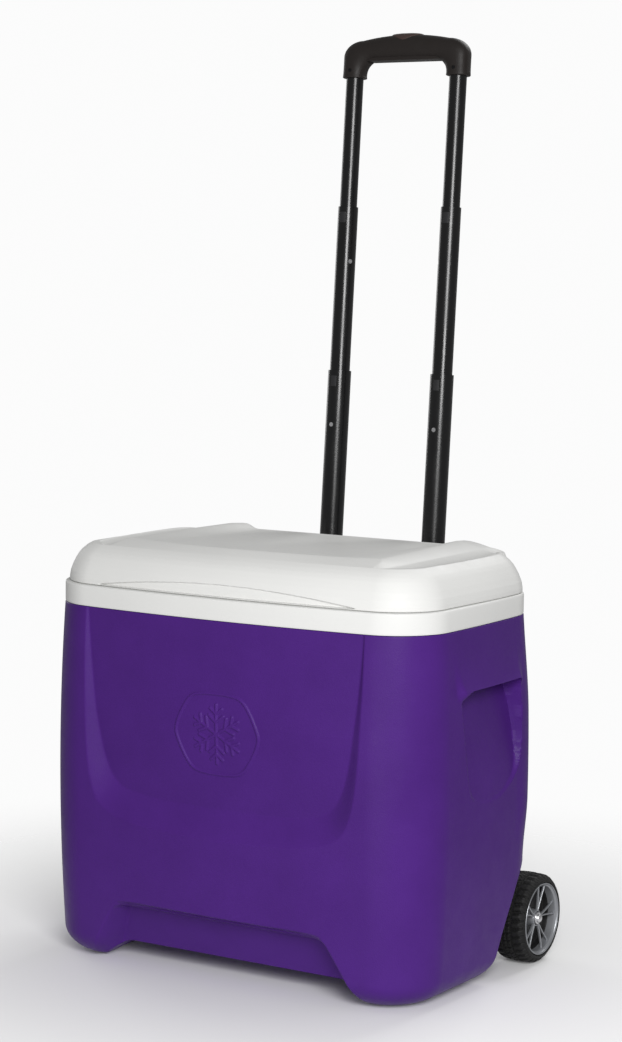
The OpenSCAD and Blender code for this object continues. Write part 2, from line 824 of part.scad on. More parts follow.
// Revolved section about X: points are [x, radius]
module x_ring(points, side) {
    scale([side, 1, 1]) rotate([90, 0, 90]) rotate_extrude($fn = 128)
        polygon([for (p = points) [p[1], p[0]]]);
}
module wheel_rim(side) {
    in_x = wheel_in_x + 3;
    out_x = wheel_face_x - 2;
    web_x = wheel_face_x - 12;
    color(wheel_silver) in_frame() at_axle()
        difference() {
            union() {
                x_ring([
                    [in_x, rim_r - rim_wall], [in_x, rim_r], [out_x, rim_r], [out_x, rim_r - 3],
                    [web_x, rim_r - rim_wall]
                ], side);
                x_ring([
                    [wheel_in_x - 3, 0], [wheel_in_x - 3, hub_r], [hub_out_x, hub_r - 1], [hub_out_x, 0]
                ], side);
                x_ring([
                    [web_x - 9, 0], [web_x - 9, rim_r - 3], [web_x - 7, rim_r - 3], [web_x - 7, 0]
                ], side);
                for (i = [0:spoke_count - 1])
                    for (twin = [-1, 1])
                        rotate([spoke_phase + i * 360 / spoke_count + twin * spoke_splay, 0, 0])
                            scale([side, 1, 1])
                                translate([web_x - 8, -spoke_w / 2, hub_r - 4])
                                    cube([12, spoke_w, rim_r - hub_r + 1.5]);
            }
            x_rod(-far, far, axle_r + running_gap);
        }
}
module tyre(side) {
    shoulder = 3;
    color(tyre_black) in_frame() at_axle()
        x_ring([
            [wheel_in_x, rim_r + 0.5], [wheel_in_x, tyre_r - shoulder], [wheel_in_x + shoulder, tyre_r],
            [wheel_face_x - shoulder, tyre_r], [wheel_face_x, tyre_r - shoulder], [wheel_face_x, rim_r + 0.5],
            [wheel_face_x - 1, rim_r + press_gap], [wheel_in_x + 1, rim_r + press_gap]
        ], side);
}
module hub_cap(side) {
    color(bright_steel) in_frame() at_axle()
        x_ring([
            [hub_out_x, axle_r + 0.3], [hub_out_x, 6.8], [hub_out_x + 2, 6.8], [hub_out_x + 5, 4.6],
            [hub_out_x + 5.6, 0], [hub_out_x + 3.6, 0], [hub_out_x + 3.6, axle_r + 0.3]
        ], side);
}

outer_shell();
foam_insulation();
inner_liner();
lid_outer();
lid_foam();
lid_inner_panel();
hinge_body_leaf(-1);  // hinge_body_leaf_left
hinge_body_leaf(1);  // hinge_body_leaf_right
hinge_lid_leaf(-1);  // hinge_lid_leaf_left
hinge_lid_leaf(1);  // hinge_lid_leaf_right
hinge_pin(-1);  // hinge_pin_left
hinge_pin(1);  // hinge_pin_right
hinge_body_screws();
hinge_lid_screws();
handle_upper_bracket();
handle_lower_bracket();
upper_bracket_screws();
lower_bracket_screws();
guide_tube(-1);  // guide_tube_left
guide_tube(1);  // guide_tube_right
guide_bushing(-1);  // guide_bushing_left
guide_bushing(1);  // guide_bushing_right
lower_tube(-1);  // lower_tube_left
lower_tube(1);  // lower_tube_right
lower_bushing(-1);  // lower_bushing_left
lower_bushing(1);  // lower_bushing_right
lower_tube_plug(-1);  // lower_tube_plug_left
lower_tube_plug(1);  // lower_tube_plug_right
lower_lock_pin(-1);  // lower_lock_pin_left
lower_lock_pin(1);  // lower_lock_pin_right
middle_tube(-1);  // middle_tube_left
middle_tube(1);  // middle_tube_right
middle_bushing(-1);  // middle_bushing_left
middle_bushing(1);  // middle_bushing_right
middle_tube_plug(-1);  // middle_tube_plug_left
middle_tube_plug(1);  // middle_tube_plug_right
middle_lock_pin(-1);  // middle_lock_pin_left
middle_lock_pin(1);  // middle_lock_pin_right
top_tube(-1);  // top_tube_left
top_tube(1);  // top_tube_right
top_tube_plug(-1);  // top_tube_plug_left
top_tube_plug(1);  // top_tube_plug_right
grip_body();
grip_under_cover();
grip_screws();
release_button();
button_spring();
release_yoke();
release_rod(-1);  // release_rod_left
release_rod(1);  // release_rod_right
axle();
axle_washers();
wheel_rim(-1);  // wheel_rim_left
wheel_rim(1);  // wheel_rim_right
tyre(-1);  // tyre_left
tyre(1);  // tyre_right
hub_cap(-1);  // hub_cap_left
hub_cap(1);  // hub_cap_right
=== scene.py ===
import math

import bpy
import numpy as np
from mathutils import Matrix, Vector


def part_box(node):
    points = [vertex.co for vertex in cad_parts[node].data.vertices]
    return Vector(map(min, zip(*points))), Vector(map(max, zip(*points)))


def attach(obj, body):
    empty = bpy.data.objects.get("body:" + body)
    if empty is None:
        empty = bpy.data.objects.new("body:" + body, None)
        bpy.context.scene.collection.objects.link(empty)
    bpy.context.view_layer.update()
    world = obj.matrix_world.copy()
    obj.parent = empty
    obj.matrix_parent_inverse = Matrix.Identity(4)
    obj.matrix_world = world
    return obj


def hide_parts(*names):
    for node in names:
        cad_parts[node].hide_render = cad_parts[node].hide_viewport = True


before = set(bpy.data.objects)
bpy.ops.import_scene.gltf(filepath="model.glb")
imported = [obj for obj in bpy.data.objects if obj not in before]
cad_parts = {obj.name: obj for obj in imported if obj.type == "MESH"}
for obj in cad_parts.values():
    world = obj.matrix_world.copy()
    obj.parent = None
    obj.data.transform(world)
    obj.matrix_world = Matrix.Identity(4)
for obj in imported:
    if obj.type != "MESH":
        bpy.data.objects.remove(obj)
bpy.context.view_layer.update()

# Lengths are in millimetres in the body's own frame (Y = 0 at the middle of the body)
# until a mesh is made; to_row() moves them into the row frame, in metres.
BODY_W, BODY_D, CORNER_R = 447.0, 251.0, 52.0
FRONT_CROWN, BACK_CROWN, SIDE_CROWN = 15.8, 5.0, 4.7
RIM_LOW, RIM_TOP = 373.5, 395.4
AXLE_Y = 130.6
WELL_X = 186.0
TUBE_X, TUBE_Y0, LEAN = 64.8, 149.1, math.radians(4.29)

# Heights of the lid above its seam, and insets of its edges.
LID_Z = RIM_TOP + 0.3
SHOULDER_UP, SHOULDER_IN, REAR_IN, CREST_IN = 39.0, 22.5, 3.2, 31.0
PANEL_UP, PANEL_FRONT = 44.9, -90.0

axle_lo, axle_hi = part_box("axle")
MID_Y = AXLE_Y - 500.0 * (axle_lo[1] + axle_hi[1])
TYRE_R = 500.0 * (axle_lo[2] + axle_hi[2])
FINE = 1.0


def to_row(p):
    """Millimetres in the body's frame to metres in the row frame."""
    p = np.asarray(p, float).reshape(-1, 3).copy()
    p[:, 1] -= MID_Y
    return p * 0.001


def smooth(t):
    """An even ease from 0 to 1."""
    t = np.clip(t, 0.0, 1.0)
    return t * t * (3 - 2 * t)


def on_lean(p):
    """Points of the handle's leaning frame (x, y, t along the tubes) in the body's frame."""
    p = np.asarray(p, float).reshape(-1, 3)
    c, s = math.cos(LEAN), math.sin(LEAN)
    return np.column_stack([p[:, 0], TUBE_Y0 + p[:, 1] * c + p[:, 2] * s, -p[:, 1] * s + p[:, 2] * c])


# ---------------------------------------------------------------- meshes
def grid_faces(rows, cols):
    """Faces between the closed rings of a stack."""
    r = np.arange(rows - 1)[:, None]
    c = np.arange(cols)[None, :]
    n = (c + 1) % cols
    f = np.stack([r * cols + c, r * cols + n, (r + 1) * cols + n, (r + 1) * cols + c], -1)
    return f.reshape(-1, 4).tolist()


def closed_grid(points, low=None, high=None):
    """Faces of a stack of closed rings, with a fan to a centre point at either end."""
    rows, cols = points.shape[:2]
    verts = points.reshape(-1, 3)
    faces = grid_faces(rows, cols)
    ring = np.arange(cols)
    if low is not None:
        verts = np.vstack([verts, [low]])
        i = len(verts) - 1
        faces += [[i, int((c + 1) % cols), int(c)] for c in ring]
    if high is not None:
        verts = np.vstack([verts, [high]])
        i = len(verts) - 1
        base = (rows - 1) * cols
        faces += [[i, int(base + c), int(base + (c + 1) % cols)] for c in ring]
    return verts, faces


def make(name, verts_mm, faces, material, sharp=40):
    """An object with smooth shading, but with edges over sharp degrees kept hard."""
    me = bpy.data.meshes.new(name)
    me.from_pydata(to_row(verts_mm).tolist(), [], faces)
    me.polygons.foreach_set("use_smooth", [True] * len(me.polygons))
    if sharp:
        me.set_sharp_from_angle(angle=math.radians(sharp))
    me.materials.append(material)
    me.update()
    o = bpy.data.objects.new(name, me)
    bpy.context.scene.collection.objects.link(o)
    return o


def merged(parts):
    """Several (points, faces) as one."""
    verts, faces, n = [], [], 0
    for v, f in parts:
        verts.append(np.asarray(v, float).reshape(-1, 3))
        faces += [[i + n for i in q] for q in f]
        n += len(verts[-1])
    return np.vstack(verts), faces


def cut(piece, *cutters):
    """Boolean difference, applied to the piece's mesh."""
    for c in cutters:
        m = piece.modifiers.new("cut", "BOOLEAN")
        m.operation = "DIFFERENCE"
        m.solver = "EXACT"
        m.object = c
    dg = bpy.context.evaluated_depsgraph_get()
    me = bpy.data.meshes.new_from_object(piece.evaluated_get(dg))
    piece.modifiers.clear()
    piece.data = me
    me.polygons.foreach_set("use_smooth", [True] * len(me.polygons))
    me.set_sharp_from_angle(angle=math.radians(38))
    for c in cutters:
        bpy.data.objects.remove(c)


def rides(piece, body, slot, *nodes):
    """The piece rides a body, in place of the CAD nodes named."""
    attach(piece, body)
    if nodes:
        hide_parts(*nodes)


# ---------------------------------------------------------------- outlines
def crowned(x, y):
    """The plan's straight sides bulge out a little."""
    u, v = 2 * x / BODY_W, 2 * y / BODY_D
    k = np.where(y < 0, FRONT_CROWN, BACK_CROWN)
    return x * (1 + 2 * SIDE_CROWN / BODY_W * (1 - v * v)), y * (1 + 2 * k / BODY_D * (1 - u * u))


def half_dense(inset, n=60):
    """Right half of the plan outline, front centre to back centre, with the lengths along it."""
    w, d, r = BODY_W / 2 - inset, BODY_D / 2 - inset, CORNER_R - 0.8 * inset
    cx, cy = w - r, d - r
    a = np.linspace(0, math.pi / 2, n)
    t = np.linspace(0, 1, n)
    x = np.concatenate([cx * t, cx + r * np.sin(a), np.full(n, w), cx + r * np.cos(a), cx * (1 - t)])
    y = np.concatenate([np.full(n, -d), -cy - r * np.cos(a), -cy + 2 * cy * t,
                        cy + r * np.sin(a), np.full(n, d)])
    x, y = crowned(x, y)
    s = np.concatenate([[0], np.cumsum(np.hypot(np.diff(x), np.diff(y)))])
    return x, y, s, n


def at(dense, s):
    """Points at the lengths s along a half outline."""
    x, y, cum, _ = dense
    return np.column_stack([np.interp(s, cum, x), np.interp(s, cum, y)])


def loop(half):
    """A whole ring from its right half, which runs from the front centre to the back centre."""
    left = half[1:-1][::-1] * [-1, 1]
    return np.vstack([half, left])


def plain_half(inset, counts):
    """Right half of the plan with a set number of points in each of its five stretches."""
    d = half_dense(inset)
    n, cum = d[3], d[2]
    marks = [cum[k * n] for k in range(1, 5)]
    marks = [0.0] + marks + [cum[-1]]
    parts = [np.linspace(marks[k], marks[k + 1], counts[k], endpoint=False) for k in range(5)]
    return at(d, np.concatenate(parts + [[cum[-1]]]))


def ring(inset, z, counts):
    """The whole plan outline at one height."""
    p = loop(plain_half(inset, counts))
    return np.column_stack([p, np.full(len(p), z)])


def shrunk(base, k, z, spine=98.0):
    """A ring drawn towards the segment |x| < spine of the middle."""
    cx = np.clip(base[:, 0], -spine, spine)
    return np.column_stack([cx + (base[:, 0] - cx) * k, base[:, 1] * k, np.broadcast_to(z, len(base))])


# ---------------------------------------------------------------- distances
def round_off(poly, times=2):
    """Cuts the corners of a closed outline."""
    p = np.asarray(poly, float)
    for _ in range(times):
        q = np.roll(p, -1, axis=0)
        p = np.stack([0.75 * p + 0.25 * q, 0.25 * p + 0.75 * q], 1).reshape(-1, 2)
    return p


def seg_distance(p, a, b):
    """Distance from points to the nearest of the segments a to b."""
    ab = b - a
    t = np.clip(((p[:, None, :] - a) * ab).sum(-1) / np.maximum((ab * ab).sum(-1), 1e-9), 0, 1)
    return np.sqrt(((p[:, None, :] - a - t[..., None] * ab) ** 2).sum(-1)).min(1)


def signed(p, poly):
    """Distance to a closed outline, positive inside it."""
    a, b = poly, np.roll(poly, -1, axis=0)
    d = seg_distance(p, a, b)
    x, y = p[:, 0][:, None], p[:, 1][:, None]
    rise = np.where(b[:, 1] == a[:, 1], 1e-9, b[:, 1] - a[:, 1])
    left = x < (b[:, 0] - a[:, 0]) * (y - a[:, 1]) / rise + a[:, 0]
    cross = ((a[:, 1] > y) != (b[:, 1] > y)) & left
    return np.where(cross.sum(1) % 2 == 1, d, -d)


def between(p, outer, inner):
    """0 outside the outer outline, 1 inside the inner one, and even between the two."""
    o, i = signed(p, outer), signed(p, inner)
    w = np.where(i >= 0, 1.0, np.maximum(o, 0) / np.maximum(np.maximum(o, 0) - np.minimum(i, 0), 1e-6))
    return 0.2 * smooth(w) + 0.8 * w


def mirrored(right):
    """A closed outline from its right half, given from the bottom centre up to the top centre."""
    r = np.asarray(right, float)
    return np.vstack([r, (r * [-1, 1])[::-1]])


# ---------------------------------------------------------------- shell
SWELL_MAX, SWELL_Z, SWELL_H = 5.3, 205.0, 170.0
FOOT_IN, FOOT_UP = 40.0, 28.0
CHANNEL_Z = 21.0


def swell(z):
    """How far the shell bulges out at a height."""
    return SWELL_MAX * (1 - ((z - SWELL_Z) / SWELL_H) ** 2)


def foot_inset(z):
    """The shell rounds in towards its foot."""
    d = np.clip(1 - z / FOOT_UP, 0, 1)
    return FOOT_IN * (1 - np.sqrt(1 - d ** 2))


def channel(x):
    """Height of the raised underside between the feet."""
    return CHANNEL_Z * (1 - smooth((np.abs(x) - 127) / 47))


BADGE_HALF = 57
WELL_TOP, WELL_FROM = 123.0, -6.0
well_z = np.linspace(-20, WELL_TOP + 20, 327)
well_y = np.interp(well_z, [0, 4, 9, 16, 24, 30, 46, 64, 81, 97, 107, 114, 119, 123, 128],
                   [12, 19, 26, 33, 38.5, 41.5, 48.5, 58.5, 69, 78, 86, 94, 102, 113, 136])
kernel = np.exp(-np.linspace(-2, 2, 17) ** 2)
well_y = np.convolve(np.pad(well_y, 8, mode="edge"), kernel / kernel.sum(), "valid")


def shell_counts():
    """How many points each stretch of the shell's half outline has."""
    n = lambda length: max(4, int(length / (1.15 * FINE)))
    counts = dict(badge=n(104), front=n(115), arc=n(82), side=n(68))
    counts.update(flank=n(84), fillet=5, wall=12, inner=26, back=n(60))
    return counts


COUNTS = shell_counts()


def shell_half(z, share):
    """Right half of the shell's plan at one height, with the wheel well let in.

    share is how the points lie along the stretch by the wheel at the height below. It is returned
    with the points, so that the columns of the mesh run on straight above the well."""
    d = half_dense(float(foot_inset(z)) - float(swell(z)))
    x, y, cum, n = d
    s1, s2 = cum[n], cum[2 * n]
    s3 = np.interp(WELL_FROM, y[2 * n:4 * n], cum[2 * n:4 * n])
    arc = slice(3 * n, 4 * n)
    s4 = np.interp(-WELL_X, -x[arc], cum[arc])
    front = [np.linspace(0, BADGE_HALF, COUNTS["badge"], endpoint=False),
             np.linspace(BADGE_HALF, s1, COUNTS["front"], endpoint=False),
             np.linspace(s1, s2, COUNTS["arc"], endpoint=False),
             np.linspace(s2, s3, COUNTS["side"], endpoint=False)]
    end = at(d, [s4])[0]
    if z < WELL_TOP:
        fy = min(float(np.interp(z, well_z, well_y)), end[1] - 1.5)
        sA = np.interp(fy, y[2 * n:4 * n], cum[2 * n:4 * n])
        xA = max(at(d, [sA])[0][0], WELL_X + 3)
        rf = min(3.0, 0.3 * (xA - WELL_X))
        rc = min(5.0, 0.3 * (xA - WELL_X), 0.3 * (end[1] - fy))
        y_end = notch(end[1], z)
        flank = at(d, np.linspace(s3, sA - rf, COUNTS["flank"], endpoint=False))
        turn = np.linspace(0, math.pi / 2, COUNTS["fillet"], endpoint=False)
        xa = at(d, [sA - rf])[0][0]
        outer_bend = np.column_stack([xa - rf + rf * np.cos(turn), fy - rf + rf * np.sin(turn)])
        wall_x = np.linspace(xa - rf, WELL_X + rc, COUNTS["wall"], endpoint=False)
        wall = np.column_stack([wall_x, np.full(len(wall_x), fy)])
        inner_bend = np.column_stack([WELL_X + rc - rc * np.sin(turn), fy + rc - rc * np.cos(turn)])
        inner_y = np.linspace(fy + rc, y_end, COUNTS["inner"], endpoint=False)
        inner = np.column_stack([np.full(len(inner_y), WELL_X), inner_y])
        block = np.vstack([flank, outer_bend, wall, inner_bend, inner])
        q = np.vstack([block, [[WELL_X, y_end]]])
        run = np.concatenate([[0], np.cumsum(np.hypot(*np.diff(q, axis=0).T))])
        share = run[:-1] / run[-1]
    else:
        even = np.linspace(0, 1, len(share), endpoint=False)
        w = smooth((z - WELL_TOP) / 40)
        block = at(d, s3 + (s4 - s3) * (share * (1 - w) + even * w))
    back = at(d, np.linspace(s4, cum[-1], COUNTS["back"] + 1))
    back[:, 1] = notch(back[:, 1], z)
    return np.vstack([at(d, np.concatenate(front)), block, back]), share


def notch(y, z):
    """The back of the body steps forward below the axle block."""
    return np.minimum(y, 112 + 30 * smooth((z - 85) / 4))


# Outer and inner outlines of the front recesses (x, z), and the mouth of the side grip (y, z).
SHIELD_OUT = round_off(mirrored([
    (0, 152), (70, 154), (99, 156), (126, 161), (141, 168), (151, 178), (158.5, 199), (162.5, 224),
    (165, 258), (166.5, 300), (167.5, 331), (167, 400), (60, 400)]))
SHIELD_IN = round_off(mirrored([
    (0, 181.5), (65, 182), (101, 185), (119, 188.5), (131, 195.5), (140, 209), (146, 226), (151, 248),
    (155, 272), (160.5, 315), (165.2, 367), (165.6, 400), (60, 400)]))
TOE_OUT = round_off(mirrored([
    (0, -30), (174, -30), (172, -4), (158, 16), (148, 34), (127, 68), (118, 73), (60, 73)]))
TOE_IN = round_off(mirrored([
    (0, -30), (161, -30), (156, -4), (139, 18), (122, 56), (115, 67.5), (60, 68.5)]))
SCOOP = round_off([
    (-53, 302), (-48, 309), (-36, 312.5), (10, 312.5), (60, 312.5), (71, 309.5), (74.5, 285), (74, 240),
    (68, 219), (50, 203), (24, 193), (-2, 192), (-23, 196), (-33.5, 203), (-38, 217), (-44, 250)])


EMBLEM_Z, EMBLEM_HALF = 259.0, 60


def motif():
    """A plain snow crystal in a rounded hexagon, on the floor of the front recess."""
    c = np.array([0.0, EMBLEM_Z])
    w, h, k = 53.0, 41.0, 31.0
    corners = np.array([(w, 0), (k, h), (-k, h), (-w, 0), (-k, -h), (k, -h)])
    after = np.roll(corners, -1, axis=0)
    clipped = np.stack([corners * 0.84 + after * 0.16, corners * 0.16 + after * 0.84], 1)
    border = c + round_off(clipped.reshape(-1, 2), 3)
    lines = list(zip(border, np.roll(border, -1, axis=0)))
    for a in np.radians(np.arange(0, 360, 60)):
        u = np.array([math.sin(a), math.cos(a)])
        v = np.array([u[1], -u[0]])
        lines.append((c, c + 30 * u))
        for k, m in ((12, 8.5), (20.5, 7)):
            for e in (-1, 1):
                lines.append((c + k * u, c + (k + 0.8 * m) * u + e * m * v))
    a, b = zip(*lines)
    return np.array(a), np.array(b)


def carve(p):
    """Moves the points of the shell's outer surface into its recesses."""
    x, y, z = p[:, 0], p[:, 1], p[:, 2]
    out = p.copy()
    f = np.flatnonzero((y < -85) & (np.abs(x) < 176))
    q = np.column_stack([x[f], z[f]])
    w = between(q, SHIELD_OUT, SHIELD_IN)
    floor = swell(z[f]) + np.interp(z[f], [150, 270, 375], [10.0, 2.2, 1.7])
    shield = w * np.maximum(floor, 0)
    w = between(q, TOE_OUT, TOE_IN)
    panel = np.interp(z[f], [-30, CHANNEL_Z, 62, 66.5, 400], [-98, -103, -118, -131, -136])
    toe = w * np.maximum(panel - y[f], 0)
    e = np.flatnonzero((np.abs(q[:, 0]) < EMBLEM_HALF) & (np.abs(q[:, 1] - EMBLEM_Z) < EMBLEM_HALF))
    d = seg_distance(q[e], *motif())
    relief = np.zeros(len(f))
    relief[e] = 1.25 * (1 - smooth((d - 0.75) / 1.3))
    out[f, 1] = y[f] + shield + toe - relief
    s = np.flatnonzero((np.abs(x) > 180) & (z > 124) & (np.abs(y) < 130))
    q = np.column_stack([y[s], z[s]])
    d = signed(q, SCOOP)
    deep = np.interp(z[s], [190, 205, 220, 251, 282, 307, 320], [0.3, 1.8, 4.0, 9.5, 14.5, 19.5, 20.5])
    back = smooth((y[s] - 48) / 14)
    wall = np.where(z[s] > 300, 2.5, 5.0 - 2.2 * back)
    inward = deep * smooth(np.maximum(d, 0) / wall) ** (1 - 0.45 * back)
    lip = 5.6 * np.where((d < 0) & (z[s] > 300), np.exp(-np.maximum(z[s] - 312.5, 0) / 12.0), 0)
    lip *= smooth((y[s] + 62 + 0.25 * (z[s] - 312)) / 12) * smooth((78 - y[s]) / 14)
    lip *= smooth((z[s] - 300) / 11)
    out[s, 0] = x[s] + np.sign(x[s]) * (lip - inward)
    full = 2.7 * smooth((y[s] - 62) / 34) * smooth((np.abs(x[s]) - 180) / 20)
    full *= smooth((z[s] - 124) / 60) * smooth((372 - z[s]) / 100)
    out[s, 0] += np.sign(x[s]) * full * 0.86
    out[s, 1] += full * 0.5
    return out


def build_shell(material):
    ztab = np.arange(0, RIM_LOW + 0.5, 0.5)
    table, share = [], None
    for z in ztab:
        half, share = shell_half(float(z), share)
        table.append(loop(half))
    table = np.array(table)
    cols = table.shape[1]
    base = table[60]
    x0, y0 = base[:, 0], base[:, 1]
    rear = np.abs(x0) <= WELL_X + 0.6
    zb = np.where(y0 < -60, channel(x0), np.interp(y0, [-20, 30, 45], [0, 4, 6]))
    zb = np.where((y0 > 60) & rear, channel(x0) + 2, zb)
    low_rows = int(88 / (1.15 * FINE))
    levels = [np.arange(90, 211, 1.1 * FINE), np.arange(211, 307, 0.62 * FINE)]
    levels.append(np.arange(307, RIM_LOW - 1.3, 1.1 * FINE))
    heights = [zb + (90 - zb) * t for t in np.linspace(0, 1, low_rows, endpoint=False)]
    heights += [np.full(cols, z) for z in np.concatenate(levels + [[RIM_LOW - 1.2]])]
    k = np.arange(cols)
    rows = []
    for z in heights:
        i = np.clip(z / 0.5, 0, len(ztab) - 1.001)
        lo = i.astype(int)
        xy = table[lo, k] + (table[lo + 1, k] - table[lo, k]) * (i - lo)[:, None]
        rows.append(np.column_stack([xy, z]))
    skin = carve(np.vstack(rows)).reshape(len(rows), cols, 3)
    foot = skin[0]
    under = []
    for t in np.concatenate([np.linspace(0.04, 0.9, 22), [0.95, 0.985]]):
        x, y = foot[:, 0] * t, foot[:, 1] * t
        z = channel(x) + (foot[:, 2] - channel(foot[:, 0])) * t ** 8
        under.append(np.column_stack([x, y, z]))
    top = skin[-1]
    lips = []
    for inset, down in ((0.15, 0.7), (0.5, 0.35), (1.2, 0.2), (6.0, 0.2)):
        p = shrink_like(top, inset)
        lips.append(np.column_stack([p[:, :2], np.full(cols, RIM_LOW - down)]))
    by_wheel = COUNTS["flank"] + COUNTS["fillet"] * 2 + COUNTS["wall"] + COUNTS["inner"]
    counts = (COUNTS["badge"] + COUNTS["front"], COUNTS["arc"], COUNTS["side"], by_wheel, COUNTS["back"])
    inner = []
    for inset, z in ((20.0, RIM_LOW - 0.2), (29.0, 226.0), (45.0, 51.0)):
        p = loop(plain_half(inset, counts))
        inner.append(np.column_stack([p, np.full(cols, z)]))
    inner += [shrunk(inner[-1], t, 50.0) for t in (0.6, 0.25)]
    rings = np.array(under + list(skin) + lips + inner)
    verts, faces = closed_grid(rings, low=(0, 0, CHANNEL_Z), high=(0, 0, 50.0))
    return make("shell", verts, faces, material, sharp=50)


def ring_normals(p):
    n = np.roll(p[:, :2], -1, axis=0) - np.roll(p[:, :2], 1, axis=0)
    n = np.column_stack([n[:, 1], -n[:, 0]])
    return n / np.maximum(np.hypot(n[:, 0], n[:, 1]), 1e-6)[:, None]


def shrink_like(p, inset):
    """The points of one ring, moved inwards along their own normals."""
    return np.column_stack([p[:, :2] - ring_normals(p) * inset, p[:, 2]])


def facing_back(p):
    return np.maximum(ring_normals(p)[:, 1], 0)


def build_foam(material):
    c = (30, 12, 26, 12, 30)
    sides = ((46.0, 51.6), (45.7, 52.4), (29.8, 226.0), (21.0, 372.6), (24.8, 372.6))
    outer = [ring(i, z, c) for i, z in sides]
    inner = [ring(i, z, c) for i, z in ((34.6, 226.0), (46.6, 56.8))]
    low = [shrunk(outer[0], t, 51.6, 60) for t in (0.3, 0.7)]
    floor = [shrunk(inner[-1], t, 56.8, 60) for t in (0.7, 0.3)]
    verts, faces = closed_grid(np.array(low + outer + inner + floor), low=(0, 0, 51.6), high=(0, 0, 56.8))
    return make("foam_filling", verts, faces, material, sharp=40)


# ---------------------------------------------------------------- liner and lid
def build_liner(material):
    c = (60, 22, 50, 22, 60)
    wall = lambda z, extra: 27 + (392 - z) / 332 * 23 + extra
    prof = [(47.3, 57.2), (24.4, 392.3), (3.3, 392.3), (3.0, 374.2), (2.3, 373.6), (1.1, 373.6),
            (0.35, 373.9), (0.05, 374.7), (0.0, 376), (0.0, 384), (0.0, 392.6), (0.15, 393.8), (0.6, 394.7),
            (1.5, 395.25), (2.8, 395.4), (9.0, 395.4), (9.6, 394.9), (12.4, 394.9), (13.0, 395.4),
            (23.0, 395.4), (25.0, 395.0), (26.4, 393.8), (27.0, 392.0)]
    prof += [(wall(z, 0), z) for z in np.linspace(380, 84, 14)]
    prof += [(wall(84, 0) + 14 * (1 - math.cos(a)) + 1.0 * math.sin(a), 84 - 24 * math.sin(a))
             for a in np.linspace(0.2, math.pi / 2, 9)]
    rings = [ring(i, z, c) for i, z in prof]
    start = [shrunk(rings[0], k, 57.2, 60) for k in (0.3, 0.7)]
    last = rings[-1]
    floor = [shrunk(last, k, 60.0 - 0.6 * (1 - k), 60) for k in (0.97, 0.8, 0.5, 0.2)]
    verts, faces = closed_grid(np.array(start + rings + floor), low=(0, 0, 57.2), high=(0, 0, 59.4))
    return make("liner_and_rim", verts, faces, material, sharp=32)


# The lid's flank: height above the seam, and how far in it stands there at the front and at the back.
FLANK_H = [0, 5, 11, 18, 23, 28, 32, 36, SHOULDER_UP]
FLANK_FRONT = [0, 0.2, 1.3, 4, 6.5, 9.5, 12.8, 17.5, SHOULDER_IN]
FLANK_REAR = [0, 0.05, 0.1, 0.3, 0.6, 1.1, 1.7, 2.4, REAR_IN]


def panel_height(y):
    """The sunken middle of the lid falls slightly towards the back."""
    return PANEL_UP - 0.03 * (y - PANEL_FRONT)


def corner_drop(x, y):
    """How far the lid's rear corners fall below the rest of its edge."""
    return 3.2 * smooth((np.abs(x) - 166) / 24) * smooth((y - 90) / 22)


def lid_top(x, y, delta, rear):
    """Height of the lid above its seam at a point, delta in from its edge."""
    xa = np.abs(x)
    reach = 38 + 15 * (np.minimum(xa, 160) / 146) ** 2
    t = np.maximum(delta - SHOULDER_IN, 0) / (reach - SHOULDER_IN)
    slope = SHOULDER_UP + 5.9 * t * (1.3 - 0.3 * np.minimum(t, 1.6))
    front = np.where(delta < SHOULDER_IN, np.interp(delta, FLANK_FRONT, FLANK_H), slope)
    back = np.interp(delta, FLANK_REAR + [5, 8, 12, 20, 80], FLANK_H + [43, 46, 48.5, 52, 70])
    flank = front * (1 - rear) + back * rear
    xc = np.interp(y, [-104, -84, -40, 30, 99, 130], [160, 150, 149.5, 147, 141, 138])
    zc = np.interp(y, [-104, -84, -40, 30, 99, 130], [38.4, PANEL_UP, 45.4, 46.2, 46.6, 44.4])
    xf = np.interp(y, [-104, -60, 0, 95, 130], [164.6, 169.5, 170, 169.5, 168])
    zf = np.interp(y, [-104, -60, 0, 95, 130], [38.2, 38.7, 39.2, 39.9, 39.4])
    xb = np.interp(y, [-104, -77, -27, 42, 107, 130], [165.5, 191.8, 200.8, 200.5, 191, 186])
    flat = panel_height(y)
    wide = np.interp(y, [-84, 10, 70, 112], [50, 46, 34, 22])
    inner = flat + (zc - flat) * smooth((xa - (xc - wide)) / wide) ** 1.3 * (y > -84)
    u = np.clip((xa - xf) / np.maximum(xb - xf, 0.5), 0, 1.6)
    inside = np.minimum(u, 1)
    rim = np.minimum(30 * (u - inside) * (1 - rear) * smooth((104 - y) / 25), 0.9)
    scoop = zf + (38.4 - zf) * inside - 1.6 * np.sin(np.pi * inside) + rim
    face = zc + (zf - zc) * np.clip((xa - xc) / np.maximum(xf - xc, 0.5), 0, 1) ** 1.4
    top = np.where(xa <= xc, inner, np.where(xa <= xf, face, scoop))
    top = np.where(y < -104, 60, top)
    return np.minimum(top - corner_drop(x, y), flank)


def closing(cols, start):
    """Strips across a ring, from its front half to its back half."""
    half = cols // 2
    strips = []
    for side in (0, half):
        for i in range(half // 2):
            quad = [side + i, side + i + 1, side + half - i - 1, (side + half - i) % cols]
            strips.append([start + j for j in dict.fromkeys(quad)])
    return strips


